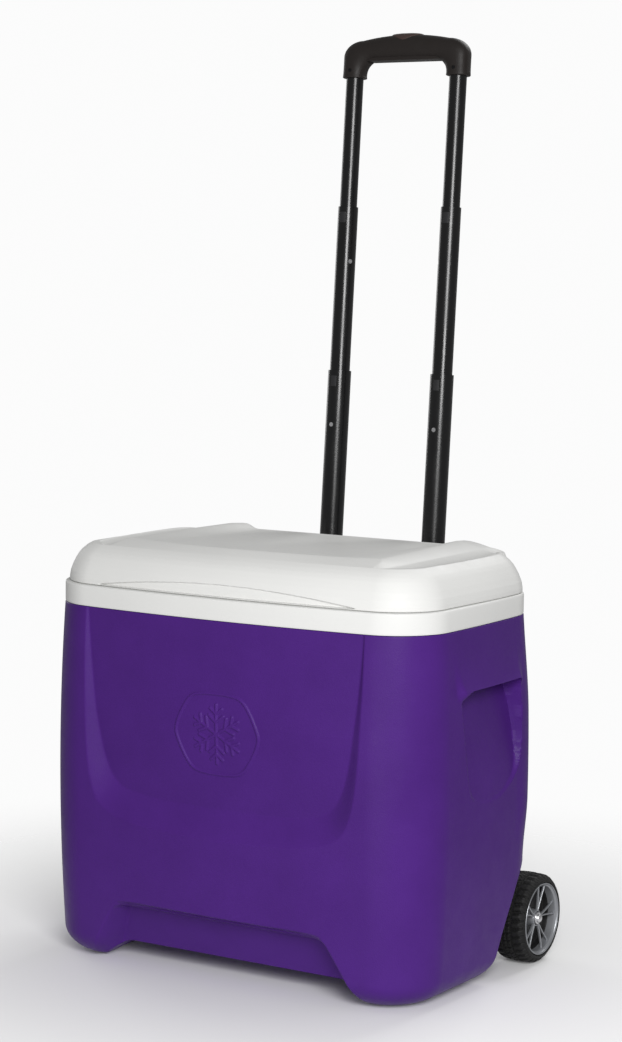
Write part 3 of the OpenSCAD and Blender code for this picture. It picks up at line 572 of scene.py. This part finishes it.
def build_lid(material):
    n = lambda length: max(4, int(length / (1.3 * FINE)))
    counts = (n(172), n(82), n(147), n(82), n(172))
    steps = np.arange(-2, 64, 0.5)
    table = np.array([loop(plain_half(float(i), counts)) for i in steps])
    cols = table.shape[1]
    k = np.arange(cols)
    y0 = table[4][:, 1]
    edge = 1.4 + 3.0 * smooth((60 - y0) / 120)
    rear = smooth((facing_back(table[4]) - 0.8) / 0.19)

    def at_inset(inset):
        i = np.clip((inset - steps[0]) / 0.5, 0, len(steps) - 1.001)
        lo = i.astype(int)
        return table[lo, k] + (table[lo + 1, k] - table[lo, k]) * (i - lo)[:, None]

    def row(inset, z):
        return np.column_stack([at_inset(inset), np.broadcast_to(z, cols)])

    rows = []
    roof = row(edge + 36, LID_Z + 33)
    rows += [shrunk(roof, t, LID_Z + 33) for t in (0.3, 0.75)] + [roof]
    rows += [row(edge + 8, LID_Z + 24), row(edge + 6.2, LID_Z + 12), row(edge + 5.8, LID_Z + 2)]
    underside = ((5.4, 0.5), (4.8, 0.05), (2.0, 0.0), (1.0, 0.1), (0.35, 0.5), (0.08, 1.1))
    rows += [row(edge + inset, LID_Z + up) for inset, up in underside]
    heights = list(np.arange(1.7, 18, 0.6 * FINE)) + list(np.arange(18, SHOULDER_UP, 1.1 * FINE))
    heights.append(SHOULDER_UP)
    for h in heights:
        delta = np.interp(h, FLANK_H, FLANK_FRONT) * (1 - rear) + np.interp(h, FLANK_H, FLANK_REAR) * rear
        p = row(edge + delta, LID_Z + h)
        p[:, 2] = np.minimum(p[:, 2], LID_Z + SHOULDER_UP - corner_drop(p[:, 0], p[:, 1]))
        arch = 13.4 * (1 - (p[:, 0] / 166) ** 2)
        under = smooth((arch - h) / 0.9) * smooth((arch - 0.1) / 1.4) * (p[:, 1] < 0)
        p[:, 1] += under * (3.4 - 1.2 * h / 16)
        rows.append(p)
    start = SHOULDER_IN * (1 - rear) + REAR_IN * rear
    for t in np.linspace(0, 1, int(9 / FINE))[1:]:
        delta = start + (CREST_IN - start) * t
        p = at_inset(edge + delta)
        rows.append(np.column_stack([p, LID_Z + lid_top(p[:, 0], p[:, 1], delta, rear)]))
    base = rows[-1]
    spine = np.clip(base[:, 0], -98, 98)
    span = np.hypot(base[:, 0] - spine, base[:, 1])
    for t in np.linspace(1, 0.012, int(76 / FINE))[1:]:
        p = shrunk(base, t, 0)
        p[:, 2] = LID_Z + lid_top(p[:, 0], p[:, 1], CREST_IN + span * (1 - t), rear)
        rows.append(p)
    verts, faces = closed_grid(np.array(rows))
    faces += closing(cols, (len(rows) - 1) * cols)
    faces.append(list(range(cols))[::-1])
    return make("lid_shell", verts, faces, material, sharp=50)


def build_lid_panel(material):
    c = (50, 18, 40, 18, 50)
    floor_z, top_z = 386.6, 398.4
    prof = [(10.6, 396.4), (11.0, 395.9), (11.8, 395.72), (29.6, 395.72), (31.0, 395.3), (31.6, 394.2),
            (32.2, 386.4), (32.9, 384.6), (34.6, 383.8), (46.0, 383.8), (47.4, 384.2), (48.6, 386.0),
            (50.2, floor_z), (60, floor_z)]
    rings = [ring(i, z, c) for i, z in prof][::-1]
    for z in (396.45, top_z):
        edge = ring(7.4, z, c)
        rings.append(shrink_like(edge, 3.0 * smooth((60 - edge[:, 1]) / 120)[:, None]))
    inner = [shrunk(rings[0], t, floor_z, 60) for t in (0.15, 0.5, 0.8)]
    top = [ring(16, top_z, c), ring(40, top_z, c)]
    top += [shrunk(top[-1], t, top_z, 60) for t in (0.5, 0.15)]
    verts, faces = closed_grid(np.array(inner + rings + top), low=(0, 0, floor_z), high=(0, 0, top_z))
    return make("lid_lining", verts, faces, material, sharp=32)


# ---------------------------------------------------------------- grip and button
GRIP_LOW_T, BAR_LOW_T, BAR_TOP_T, BUTTON_LOW_T = 933.0, 951.3, 978.1, 967.1
GRIP_DEEP, BAR_ARCH, SCREW_T = 12.9, 560.0, 940.0


def bezier_run(points, n):
    """Evenly spaced points along a polyline."""
    p = np.asarray(points, float)
    s = np.concatenate([[0], np.cumsum(np.hypot(*np.diff(p, axis=0).T))])
    u = np.linspace(0, s[-1], n)
    return np.column_stack([np.interp(u, s, p[:, 0]), np.interp(u, s, p[:, 1])])


def grip_paths():
    """Outer and inner outlines of the grip (x, t), from foot to foot."""
    a = np.linspace(0, math.pi / 2, 25)
    top = lambda x: BAR_TOP_T - x * x / BAR_ARCH
    turn_t, bend_x = 955.5, 53.5
    leg_o = bezier_run([(77.7, GRIP_LOW_T), (77.3, 939), (77.2, turn_t)], 9)
    rx, rz = 77.2 - bend_x, top(bend_x) - turn_t
    arc_o = np.column_stack([bend_x + rx * np.cos(a), turn_t + rz * np.sin(a)])[1:]
    xs = np.linspace(bend_x, 0, 30)[1:]
    bar_o = np.column_stack([xs, top(xs)])
    leg_i = bezier_run([(52.0, GRIP_LOW_T), (52.4, 934.8), (52.15, 937.6)], 9)
    b = np.linspace(0.1, math.pi / 2, 25)
    arc_i = np.column_stack([34.6 + 17.6 * np.cos(b), 936.0 + (BAR_LOW_T - 936.0) * np.sin(b)])[1:]
    bar_i = np.column_stack([np.linspace(34.6, 0, 30)[1:], np.full(29, BAR_LOW_T)])
    o, i = np.vstack([leg_o, arc_o, bar_o]), np.vstack([leg_i, arc_i, bar_i])
    mirror = lambda q: np.vstack([q, (q[:-1] * [-1, 1])[::-1]])
    return mirror(o), mirror(i)


def super_ring(n, power):
    """The x and y of a ring: a circle at power 2, squarer above that and more pointed below."""
    a = np.linspace(0, 2 * math.pi, n, endpoint=False)
    c, s = np.cos(a), np.sin(a)
    return np.sign(c) * np.abs(c) ** (2 / power), np.sign(s) * np.abs(s) ** (2 / power)


def grip_surface(n=56):
    o, i = grip_paths()
    c, s = super_ring(n, 2.5)
    mid, half = (o + i) / 2, (o - i) / 2
    bar = smooth((mid[:, 1] - 940) / 18)
    depth = GRIP_DEEP - 0.7 * (1 - bar)
    rows = []
    for m, h, d in zip(mid, half, depth):
        q = m + np.outer(c, h)
        rows.append(np.column_stack([q[:, 0], d * s, q[:, 1]]))
    rows = np.array(rows)

    def cap(r, k, drop):
        centre = r.mean(0)
        q = centre + (r - centre) * k
        q[:, 2] -= drop
        return q
    return np.array([cap(rows[0], 0.93, 0.9), cap(rows[0], 0.985, 0.5)] + list(rows)
                    + [cap(rows[-1], 0.985, 0.5), cap(rows[-1], 0.93, 0.9)])


def lens_outline(half_x, half_y, n=64):
    """The button's long oval."""
    c, s = super_ring(n, 1.75)
    return np.column_stack([half_x * c, half_y * s])


def grip_top(x, y):
    """Height of the grip's surface over a point of the button."""
    t = BAR_TOP_T - x * x / BAR_ARCH
    h = (t - BAR_LOW_T) / 2
    return (t + BAR_LOW_T) / 2 + h * np.clip(1 - (np.abs(y) / GRIP_DEEP) ** 2.5, 0, 1) ** 0.4


def column(outline, t0, t1):
    """An outline drawn out from t0 to t1."""
    low = np.column_stack([outline, np.full(len(outline), t0)])
    high = np.column_stack([outline, np.full(len(outline), t1)])
    n = len(outline)
    faces = grid_faces(2, n) + [list(range(n))[::-1], list(range(n, 2 * n))]
    return np.vstack([low, high]), faces


def prism(outline, t0, t1):
    """A column along the leaning tubes."""
    verts, faces = column(outline, t0, t1)
    return on_lean(verts), faces


def circle(x, r, n=40):
    a = np.linspace(0, 2 * math.pi, n, endpoint=False)
    return np.column_stack([x + r * np.cos(a), r * np.sin(a)])


def build_grip(material):
    rows = grip_surface()
    verts, faces = closed_grid(rows, low=rows[0].mean(0), high=rows[-1].mean(0))
    faces = [f[::-1] for f in faces]
    grip = make("grip", on_lean(verts), faces, material)
    cutters = []
    xs = np.array([-71, -69.5, -62, -50, -44, 0, 44, 50, 62, 69.5, 71])
    half_up = np.array([4, 5.2, 5.8, 6.4, 9.4, 10.2, 9.4, 6.4, 5.8, 5.2, 4])
    mid_t = np.array([959.6, 959.6, 959.6, 960.2, 963.6, 964.4, 963.6, 960.2, 959.6, 959.6, 959.6])
    c, s = super_ring(28, 3)
    tube = [np.column_stack([np.full(28, x), 9.8 * s, m + h * c]) for x, h, m in zip(xs, half_up, mid_t)]
    v, f = closed_grid(np.array(tube), low=(xs[0], 0, mid_t[0]), high=(xs[-1], 0, mid_t[-1]))
    cutters.append(make("cavity", on_lean(v), [q[::-1] for q in f], material))
    cutters.append(make("pocket", *prism(lens_outline(20.0, 12.0), 962.8, 990.0), material))
    a, b = 45.9, 8.9
    slot = np.array([(-a, -b), (a, -b), (a, b), (-a, b)])
    cutters.append(make("slot", *prism(slot, 940.0, 957.0), material))
    for x in (-TUBE_X, TUBE_X):
        cutters.append(make("socket", *prism(circle(x, 9.6), 920.0, 947.8), material))
        cutters.append(make("way", *prism(circle(x, 4.2), 944.0, 959.5), material))
        v, f = column(circle(0, 2.1, 24), -20.0, -11.2)
        v = on_lean(np.column_stack([x + v[:, 0], v[:, 2], SCREW_T - v[:, 1]]))
        cutters.append(make("screw_well", v, f, material))
    cut(grip, *cutters)
    return grip


def build_button(material):
    base = lens_outline(19.5, 11.2)
    rows = []
    n = len(base)
    rows.append(np.column_stack([base * 0.96, np.full(n, BUTTON_LOW_T)]))
    rows.append(np.column_stack([base, np.full(n, BUTTON_LOW_T + 0.8)]))
    crown = ((1.0, -0.6), (1.0, 0.2), (0.985, 0.6), (0.955, 0.9), (0.9, 1.15), (0.8, 1.35), (0.65, 1.5),
             (0.45, 1.6), (0.2, 1.6))
    for k, up in crown:
        q = base * k
        top = np.maximum(grip_top(q[:, 0], q[:, 1]) + up, BUTTON_LOW_T + 0.9)
        rows.append(np.column_stack([q, top]))
    v, f = closed_grid(np.array(rows), low=(0, 0, BUTTON_LOW_T), high=(0, 0, BAR_TOP_T + 1.6))
    stem = prism(np.array([(-3, -3), (3, -3), (3, 3), (-3, 3)]), 964.2, BUTTON_LOW_T + 0.05)
    return make("button", *merged([(on_lean(v), f), stem]), material)


# ---------------------------------------------------------------- wheels
def wheel_ring(x, r, side, n):
    """A ring about the axle, x from the plane of symmetry. r may differ from point to point."""
    a = np.linspace(0, 2 * math.pi, n, endpoint=False)
    return np.column_stack([np.full(n, side * x), AXLE_Y + r * np.cos(a), TYRE_R + r * np.sin(a)])


def torus_faces(rows, cols):
    """Faces of a grid that closes both ways."""
    faces = []
    for r in range(rows):
        after = (r + 1) % rows
        for c in range(cols):
            n = (c + 1) % cols
            faces.append([r * cols + c, r * cols + n, after * cols + n, after * cols + c])
    return faces


def ring_lathe(profile, side, n=128):
    """A closed ring from a closed profile, given so that its surface faces outwards."""
    v = np.vstack([wheel_ring(x, r, side, n) for x, r in profile])
    f = torus_faces(len(profile), n)
    return v, [q[::-1] for q in f] if side < 0 else f


TREAD_X, TREAD_HALF, TREAD_BLOCKS = 212.5, 16.5, 33


def tread_depth(u, turn):
    """Depth of the tread's cuts, u from -1 to 1 across the tread and turn from 0 to 1 round it."""
    half = 0.5 if abs(u) > 0.34 else 0.0
    block = (turn * TREAD_BLOCKS + half + 0.3 * u) % 1.0
    cross = 1 - smooth((np.abs(block - 0.5) * 2 * 4.3 - 0.55) / 0.9)
    between_cuts = (turn * TREAD_BLOCKS * 2 + 0.5 + half + 0.6 * u) % 1.0
    fine_cut = 0.4 * (1 - smooth((np.abs(between_cuts - 0.5) * 2 * 2.2 - 0.3) / 0.5))
    around = max(0.0, 1 - max(0.0, (abs(abs(u) - 0.34) * TREAD_HALF - 0.7) / 0.8))
    centre = 0.7 * max(0.0, 1 - max(0.0, (abs(u) * TREAD_HALF - 0.45) / 0.6))
    depth = 2.0 if abs(u) < 0.9 else 1.3
    return np.maximum(np.maximum(cross, fine_cut), max(around, centre)) * depth


def build_tyre(name, side, material):
    n = int(528 / FINE)
    turn = np.linspace(0, 2 * math.pi, n, endpoint=False) / (2 * math.pi)
    top = TYRE_R
    prof = [(194.6, 37.8), (193.8, 39.5), (193.4, top - 5.8), (193.9, top - 3.8), (195.3, top - 2.2),
            (197.2, top - 1.2)]
    tread = [(x, top - 0.9 + 0.9 * (1 - ((x - TREAD_X) / 15) ** 2)) for x in np.linspace(198.4, 227.0, 46)]
    outer = [(228.3, top - 1.7), (229.6, top - 2.8), (230.7, top - 4.0), (231.4, top - 5.0),
             (231.3, top - 5.6), (232.0, top - 6.2), (232.4, top - 7.2), (232.3, top - 8.1),
             (231.4, 38.3), (230.6, 37.8)]
    inner = [(229.5, 37.55), (212, 37.55), (196, 37.55)]
    rows = []
    for x, r in prof + tread + outer + inner:
        depth = tread_depth((x - TREAD_X) / TREAD_HALF, turn) if r > top - 4.6 else 0.0
        rows.append(wheel_ring(x, r - depth, side, n))
    f = torus_faces(len(rows), n)
    f = [q[::-1] for q in f] if side > 0 else f
    return make(name, np.array(rows).reshape(-1, 3), f, material, sharp=28)


SPOKES, SPOKE_TURN = 5, -10.0


def build_rim(name, side, material):
    lip = [(196, 37.4), (230.6, 37.4), (231.6, 37.8), (232.2, 37.5), (232.4, 37.0), (232.1, 36.6),
           (231.2, 36.4), (230.6, 36.1), (230.0, 35.5), (229.4, 34.8), (228, 34.5), (221.4, 34.1),
           (221.2, 35.7), (196, 35.8)]
    hub = [(190.2, 4.1), (190.2, 9.6), (218, 9.4), (222, 8.9), (225.2, 8.6), (225.9, 8.2), (226.0, 7.6),
           (225.0, 7.1), (222.6, 6.9), (222.3, 4.1)]
    parts = [ring_lathe(lip[::-1], side), ring_lathe(hub[::-1], side, 64)]
    n, steps = 16, 16
    c, s = super_ring(n, 2.8)
    for i in range(SPOKES):
        for twin in (-1, 1):
            rows = []
            for t in np.linspace(0, 1, steps):
                r = 7.6 + 27.6 * t
                ang = math.radians(SPOKE_TURN + 360 / SPOKES * i + twin * (4.0 + 8.0 * t ** 0.8))
                flare = max(0.0, t - 0.86) * 5
                width, deep = 0.8 + flare, 1.5 - 0.3 * t
                x = 224.9 + 2.1 * t
                er = np.array([-math.sin(ang), math.cos(ang)])
                et = np.array([math.cos(ang), math.sin(ang)])
                q = er * r + np.outer(s * width, et)
                rows.append(np.column_stack([side * (x + c * deep), AXLE_Y + q[:, 0], TYRE_R + q[:, 1]]))
            v, f = closed_grid(np.array(rows))
            f = f + [list(range(n))[::-1], list(range((steps - 1) * n, steps * n))]
            parts.append((v, [q[::-1] for q in f] if side > 0 else f))
    return make(name, *merged(parts), material, sharp=35)


def build_dish(name, side, material):
    dish = [(221.1, 35.6), (221.1, 34.3), (215.2, 33.8), (214.2, 31.0), (213.7, 20.0), (213.6, 9.5),
            (212.2, 9.5), (212.0, 20.0), (211.8, 35.6)]
    return make(name, *ring_lathe(dish[::-1], side), material, sharp=35)


def build_hub_cap(name, side, material):
    n = 48
    prof = [(222.5, 6.5), (226.5, 6.6), (227.3, 6.2), (227.6, 5.5), (227.4, 4.7), (228.2, 4.4), (229.5, 4.0),
            (230.3, 3.1), (230.7, 1.9), (230.8, 0.8)]
    v, f = closed_grid(np.array([wheel_ring(x, r, side, n) for x, r in prof]))
    f += [list(range(n))[::-1], list(range((len(prof) - 1) * n, len(prof) * n))]
    return make(name, v, [q[::-1] for q in f] if side > 0 else f, material, sharp=35)


# ---------------------------------------------------------------- materials
GRAIN_DEPTH, WAVE_DEPTH = 0.00012, 0.0002


def linear(r, g, b):
    f = lambda v: v / 12.92 if v <= 0.04045 else ((v + 0.055) / 1.055) ** 2.4
    return (f(r / 255), f(g / 255), f(b / 255), 1.0)


def surface(name, colour, roughness, metallic=0.0, vary=0.05, grain=1.0, grain_size=0.0012,
            rough_vary=0.08, specular=0.5, wear=0.0, stretch=(1, 1, 1), coat=0.0, round_edges=0.0):
    """A moulded or coated surface: fine grain in its normals, slow colour drift, and uneven gloss.

    Sharp CAD pieces take round_edges, a radius in metres. The others have shallow waves instead."""
    m = bpy.data.materials.new(name)
    m.use_nodes = True
    nt = m.node_tree
    nodes, links = nt.nodes, nt.links
    bsdf = nodes["Principled BSDF"]
    bsdf.inputs["Metallic"].default_value = metallic
    bsdf.inputs["Specular IOR Level"].default_value = specular
    bsdf.inputs["Coat Weight"].default_value = coat
    coord = nodes.new("ShaderNodeTexCoord")
    mapping = nodes.new("ShaderNodeMapping")
    mapping.inputs["Scale"].default_value = stretch
    links.new(coord.outputs["Object"], mapping.inputs["Vector"])

    def noise(size, detail=3.0, rough=0.55):
        n = nodes.new("ShaderNodeTexNoise")
        n.inputs["Scale"].default_value = 1.0 / size
        n.inputs["Detail"].default_value = detail
        n.inputs["Roughness"].default_value = rough
        links.new(mapping.outputs["Vector"], n.inputs["Vector"])
        return n.outputs["Fac"]

    def ranged(value, lo, hi, out_lo, out_hi):
        r = nodes.new("ShaderNodeMapRange")
        r.inputs["From Min"].default_value = lo
        r.inputs["From Max"].default_value = hi
        r.inputs["To Min"].default_value = out_lo
        r.inputs["To Max"].default_value = out_hi
        links.new(value, r.inputs["Value"])
        return r.outputs["Result"]

    fine = noise(grain_size)
    slow = noise(0.06, 4.0)
    ramp = nodes.new("ShaderNodeMix")
    ramp.data_type = "RGBA"
    dark = tuple(c * (1 - vary) for c in colour[:3]) + (1.0,)
    light = tuple(min(1.0, c * (1 + vary)) for c in colour[:3]) + (1.0,)
    ramp.inputs[6].default_value = dark
    ramp.inputs[7].default_value = light
    mixed = nodes.new("ShaderNodeMath")
    mixed.operation = "ADD"
    links.new(ranged(slow, 0.3, 0.7, 0.0, 0.6), mixed.inputs[0])
    links.new(ranged(fine, 0.3, 0.7, 0.0, 0.4), mixed.inputs[1])
    links.new(mixed.outputs[0], ramp.inputs[0])
    colour_out = ramp.outputs[2]
    if wear > 0:
        specks = noise(0.011, 6.0, 0.7)
        mask = ranged(specks, 0.66, 0.74, 0.0, wear)
        rub = nodes.new("ShaderNodeMix")
        rub.data_type = "RGBA"
        links.new(mask, rub.inputs[0])
        links.new(colour_out, rub.inputs[6])
        rub.inputs[7].default_value = tuple(min(1.0, c * 1.5 + 0.015) for c in colour[:3]) + (1.0,)
        colour_out = rub.outputs[2]
    links.new(colour_out, bsdf.inputs["Base Color"])
    patch = noise(0.02, 5.0, 0.6)
    gloss = ranged(patch, 0.3, 0.7, roughness - rough_vary, roughness + rough_vary)
    links.new(gloss, bsdf.inputs["Roughness"])
    bump = nodes.new("ShaderNodeBump")
    bump.inputs["Strength"].default_value = 1.0
    bump.inputs["Distance"].default_value = GRAIN_DEPTH * grain
    links.new(fine, bump.inputs["Height"])
    if round_edges > 0:
        bevel = nodes.new("ShaderNodeBevel")
        bevel.samples = 4
        bevel.inputs["Radius"].default_value = round_edges
        links.new(bevel.outputs["Normal"], bump.inputs["Normal"])
    else:
        waves = nodes.new("ShaderNodeBump")
        waves.inputs["Strength"].default_value = 1.0
        waves.inputs["Distance"].default_value = WAVE_DEPTH
        links.new(noise(0.05, 2.0), waves.inputs["Height"])
        links.new(waves.outputs["Normal"], bump.inputs["Normal"])
    links.new(bump.outputs["Normal"], bsdf.inputs["Normal"])
    return m


MATS = {
    "shell_purple": surface(
        "purple_shell", linear(71, 34, 116), 0.37, grain=1.7, vary=0.1, rough_vary=0.06, specular=0.1),
    "white_plastic": surface(
        "white_plastic", linear(222, 222, 220), 0.46, grain=0.6, grain_size=0.0013, vary=0.012,
        rough_vary=0.05, specular=0.16),
    "black_plastic": surface(
        "black_plastic", linear(24, 24, 25), 0.46, grain=1.2, grain_size=0.0008, vary=0.15, wear=0.2,
        round_edges=0.0012),
    "bushing_plastic": surface(
        "bushing_plastic", linear(34, 34, 36), 0.4, grain=0.5, vary=0.1, round_edges=0.0004),
    "black_tube": surface(
        "black_painted_tube", linear(13, 13, 14), 0.24, grain=0.45, grain_size=0.0006, vary=0.12,
        wear=0.25, stretch=(1, 1, 0.25), specular=0.4, coat=0.06),
    "plated_steel": surface(
        "plated_steel", linear(216, 216, 218), 0.32, metallic=1.0, grain=0.4, vary=0.06,
        stretch=(0.3, 1, 1)),
    "rod_metal": surface("rod_metal", linear(160, 160, 162), 0.35, metallic=1.0, grain=0.4, vary=0.06),
    "grip_plastic": surface(
        "grip_soft_plastic", linear(30, 25, 23), 0.5, grain=2.2, grain_size=0.0009, vary=0.12, wear=0.12,
        specular=0.35),
    "button_plastic": surface(
        "button_plastic", linear(62, 46, 42), 0.5, grain=1.4, grain_size=0.0008, vary=0.1),
    "rim_grey": surface(
        "rim_silver_paint", linear(146, 148, 152), 0.36, metallic=0.55, grain=0.5, grain_size=0.0007,
        vary=0.06, wear=0.15),
    "tyre_black": surface(
        "tyre_compound", linear(20, 20, 20), 0.6, grain=1.8, grain_size=0.0007, vary=0.2, wear=0.25,
        specular=0.3),
    "dark_steel": surface("blackened_steel", linear(40, 40, 42), 0.4, metallic=0.8, grain=0.4, vary=0.1),
    "insulation": surface("foam", linear(226, 208, 150), 0.85, grain=6, grain_size=0.002, vary=0.1),
}

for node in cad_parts.values():
    for s in node.material_slots:
        key = s.material.name.split(".")[0] if s.material else ""
        if key in MATS:
            s.material = MATS["dark_steel" if node.name == "grip_screws" else key]
        else:
            print("slot without a finish:", node.name, key)

# ---------------------------------------------------------------- pieces
rides(build_shell(MATS["shell_purple"]), "cooler_body", "shell_purple", "outer_shell")
rides(build_foam(MATS["insulation"]), "cooler_body", "insulation", "foam_insulation")
rides(build_liner(MATS["white_plastic"]), "cooler_body", "white_plastic", "inner_liner")
rides(build_lid(MATS["white_plastic"]), "lid", "white_plastic", "lid_outer")
rides(build_lid_panel(MATS["white_plastic"]), "lid", "white_plastic", "lid_inner_panel")
rides(build_grip(MATS["grip_plastic"]), "handle_top_stage", "grip_plastic", "grip_body")
rides(build_button(MATS["button_plastic"]), "release_mechanism", "button_plastic", "release_button")
for side, word in ((-1, "left"), (1, "right")):
    body = "wheel_" + word
    rides(build_tyre("tyre_tread_" + word, side, MATS["tyre_black"]), body, "tyre_black", "tyre_" + word)
    rides(build_rim("rim_spoked_" + word, side, MATS["rim_grey"]), body, "rim_grey", "wheel_rim_" + word)
    rides(build_dish("rim_dish_" + word, side, MATS["black_plastic"]), body, "black_plastic")
    cap = build_hub_cap("hub_cap_domed_" + word, side, MATS["plated_steel"])
    rides(cap, body, "plated_steel", "hub_cap_" + word)

# ---------------------------------------------------------------- stage
AZ, EL, ROLL = math.radians(32.0), math.radians(6.0), math.radians(0.7)
DIST, LENS = 2684.9, 89.5
back = Vector((math.sin(AZ) * math.cos(EL), -math.cos(AZ) * math.cos(EL), math.sin(EL)))
right = Vector((math.cos(AZ), math.sin(AZ), 0))
up = back.cross(right)
cam_x = right * math.cos(ROLL) + up * math.sin(ROLL)
cam_y = up * math.cos(ROLL) - right * math.sin(ROLL)
target = right * 18.4 + Vector((0, 0, 462.1))
place = target + back * DIST
cam_data = bpy.data.cameras.new("camera")
cam_data.lens = LENS
cam_data.sensor_width = 36
cam = bpy.data.objects.new("camera", cam_data)
bpy.context.scene.collection.objects.link(cam)
m = Matrix((cam_x, cam_y, back)).transposed().to_4x4()
m.translation = Vector((place.x, place.y - MID_Y, place.z)) * 0.001
cam.matrix_world = m
bpy.context.scene.camera = cam

floor_me = bpy.data.meshes.new("floor")
FLOOR = 12.0
corners = [(-FLOOR, -FLOOR, 0), (FLOOR, -FLOOR, 0), (FLOOR, FLOOR, 0), (-FLOOR, FLOOR, 0)]
floor_me.from_pydata(corners, [], [(0, 1, 2, 3)])
floor_mat = bpy.data.materials.new("floor_pale")
floor_mat.use_nodes = True
ft = floor_mat.node_tree
pale = ft.nodes["Principled BSDF"]
pale.inputs["Base Color"].default_value = (0.94, 0.94, 0.94, 1)
pale.inputs["Roughness"].default_value = 0.8
pale.inputs["Specular IOR Level"].default_value = 0.2
where = ft.nodes.new("ShaderNodeTexCoord")
reach = ft.nodes.new("ShaderNodeVectorMath")
reach.operation = "LENGTH"
fade = ft.nodes.new("ShaderNodeMapRange")
fade.interpolation_type = "SMOOTHSTEP"
fade.inputs["From Min"].default_value = 0.14
fade.inputs["From Max"].default_value = 0.85
fade.inputs["To Min"].default_value = 1.0
fade.inputs["To Max"].default_value = 0.0
ft.links.new(where.outputs["Object"], reach.inputs[0])
ft.links.new(reach.outputs["Value"], fade.inputs["Value"])
ft.links.new(fade.outputs["Result"], pale.inputs["Alpha"])
floor_me.materials.append(floor_mat)
floor = bpy.data.objects.new("floor", floor_me)
bpy.context.scene.collection.objects.link(floor)


def area_light(name, where, aim, size, power):
    d = bpy.data.lights.new(name, "AREA")
    d.shape = "RECTANGLE"
    d.size, d.size_y = size
    d.energy = power
    o = bpy.data.objects.new(name, d)
    v = Vector(aim) - Vector(where)
    o.location = where
    o.rotation_euler = v.to_track_quat("-Z", "Y").to_euler()
    o.visible_camera = False
    bpy.context.scene.collection.objects.link(o)


area_light("key_right", (1.4, -1.66, 1.08), (0, 0, 0.42), (0.8, 0.8), 40)
area_light("front_low", (0.3, -1.5, 0.12), (0, 0, 0.2), (0.9, 0.15), 3.3)
area_light("back_high", (0.2, 2.3, 2.3), (0, 0, 0.4), (1.2, 1.2), 30)
area_light("back_left", (-2.6, 1.1, 1.0), (0, 0, 0.4), (1.2, 1.2), 9)
world = bpy.data.worlds.new("studio")
bpy.context.scene.world = world
world.use_nodes = True
wt = world.node_tree
soft_white = wt.nodes["Background"]
soft_white.inputs["Color"].default_value = (1, 1, 1, 1)
soft_white.inputs["Strength"].default_value = 0.3
backdrop = wt.nodes.new("ShaderNodeBackground")
backdrop.inputs["Color"].default_value = (1, 1, 1, 1)
backdrop.inputs["Strength"].default_value = 0.97
path = wt.nodes.new("ShaderNodeLightPath")
pick = wt.nodes.new("ShaderNodeMixShader")
wt.links.new(path.outputs["Is Camera Ray"], pick.inputs[0])
wt.links.new(soft_white.outputs[0], pick.inputs[1])
wt.links.new(backdrop.outputs[0], pick.inputs[2])
wt.links.new(pick.outputs[0], wt.nodes["World Output"].inputs["Surface"])
bpy.context.scene.view_settings.view_transform = "Standard"
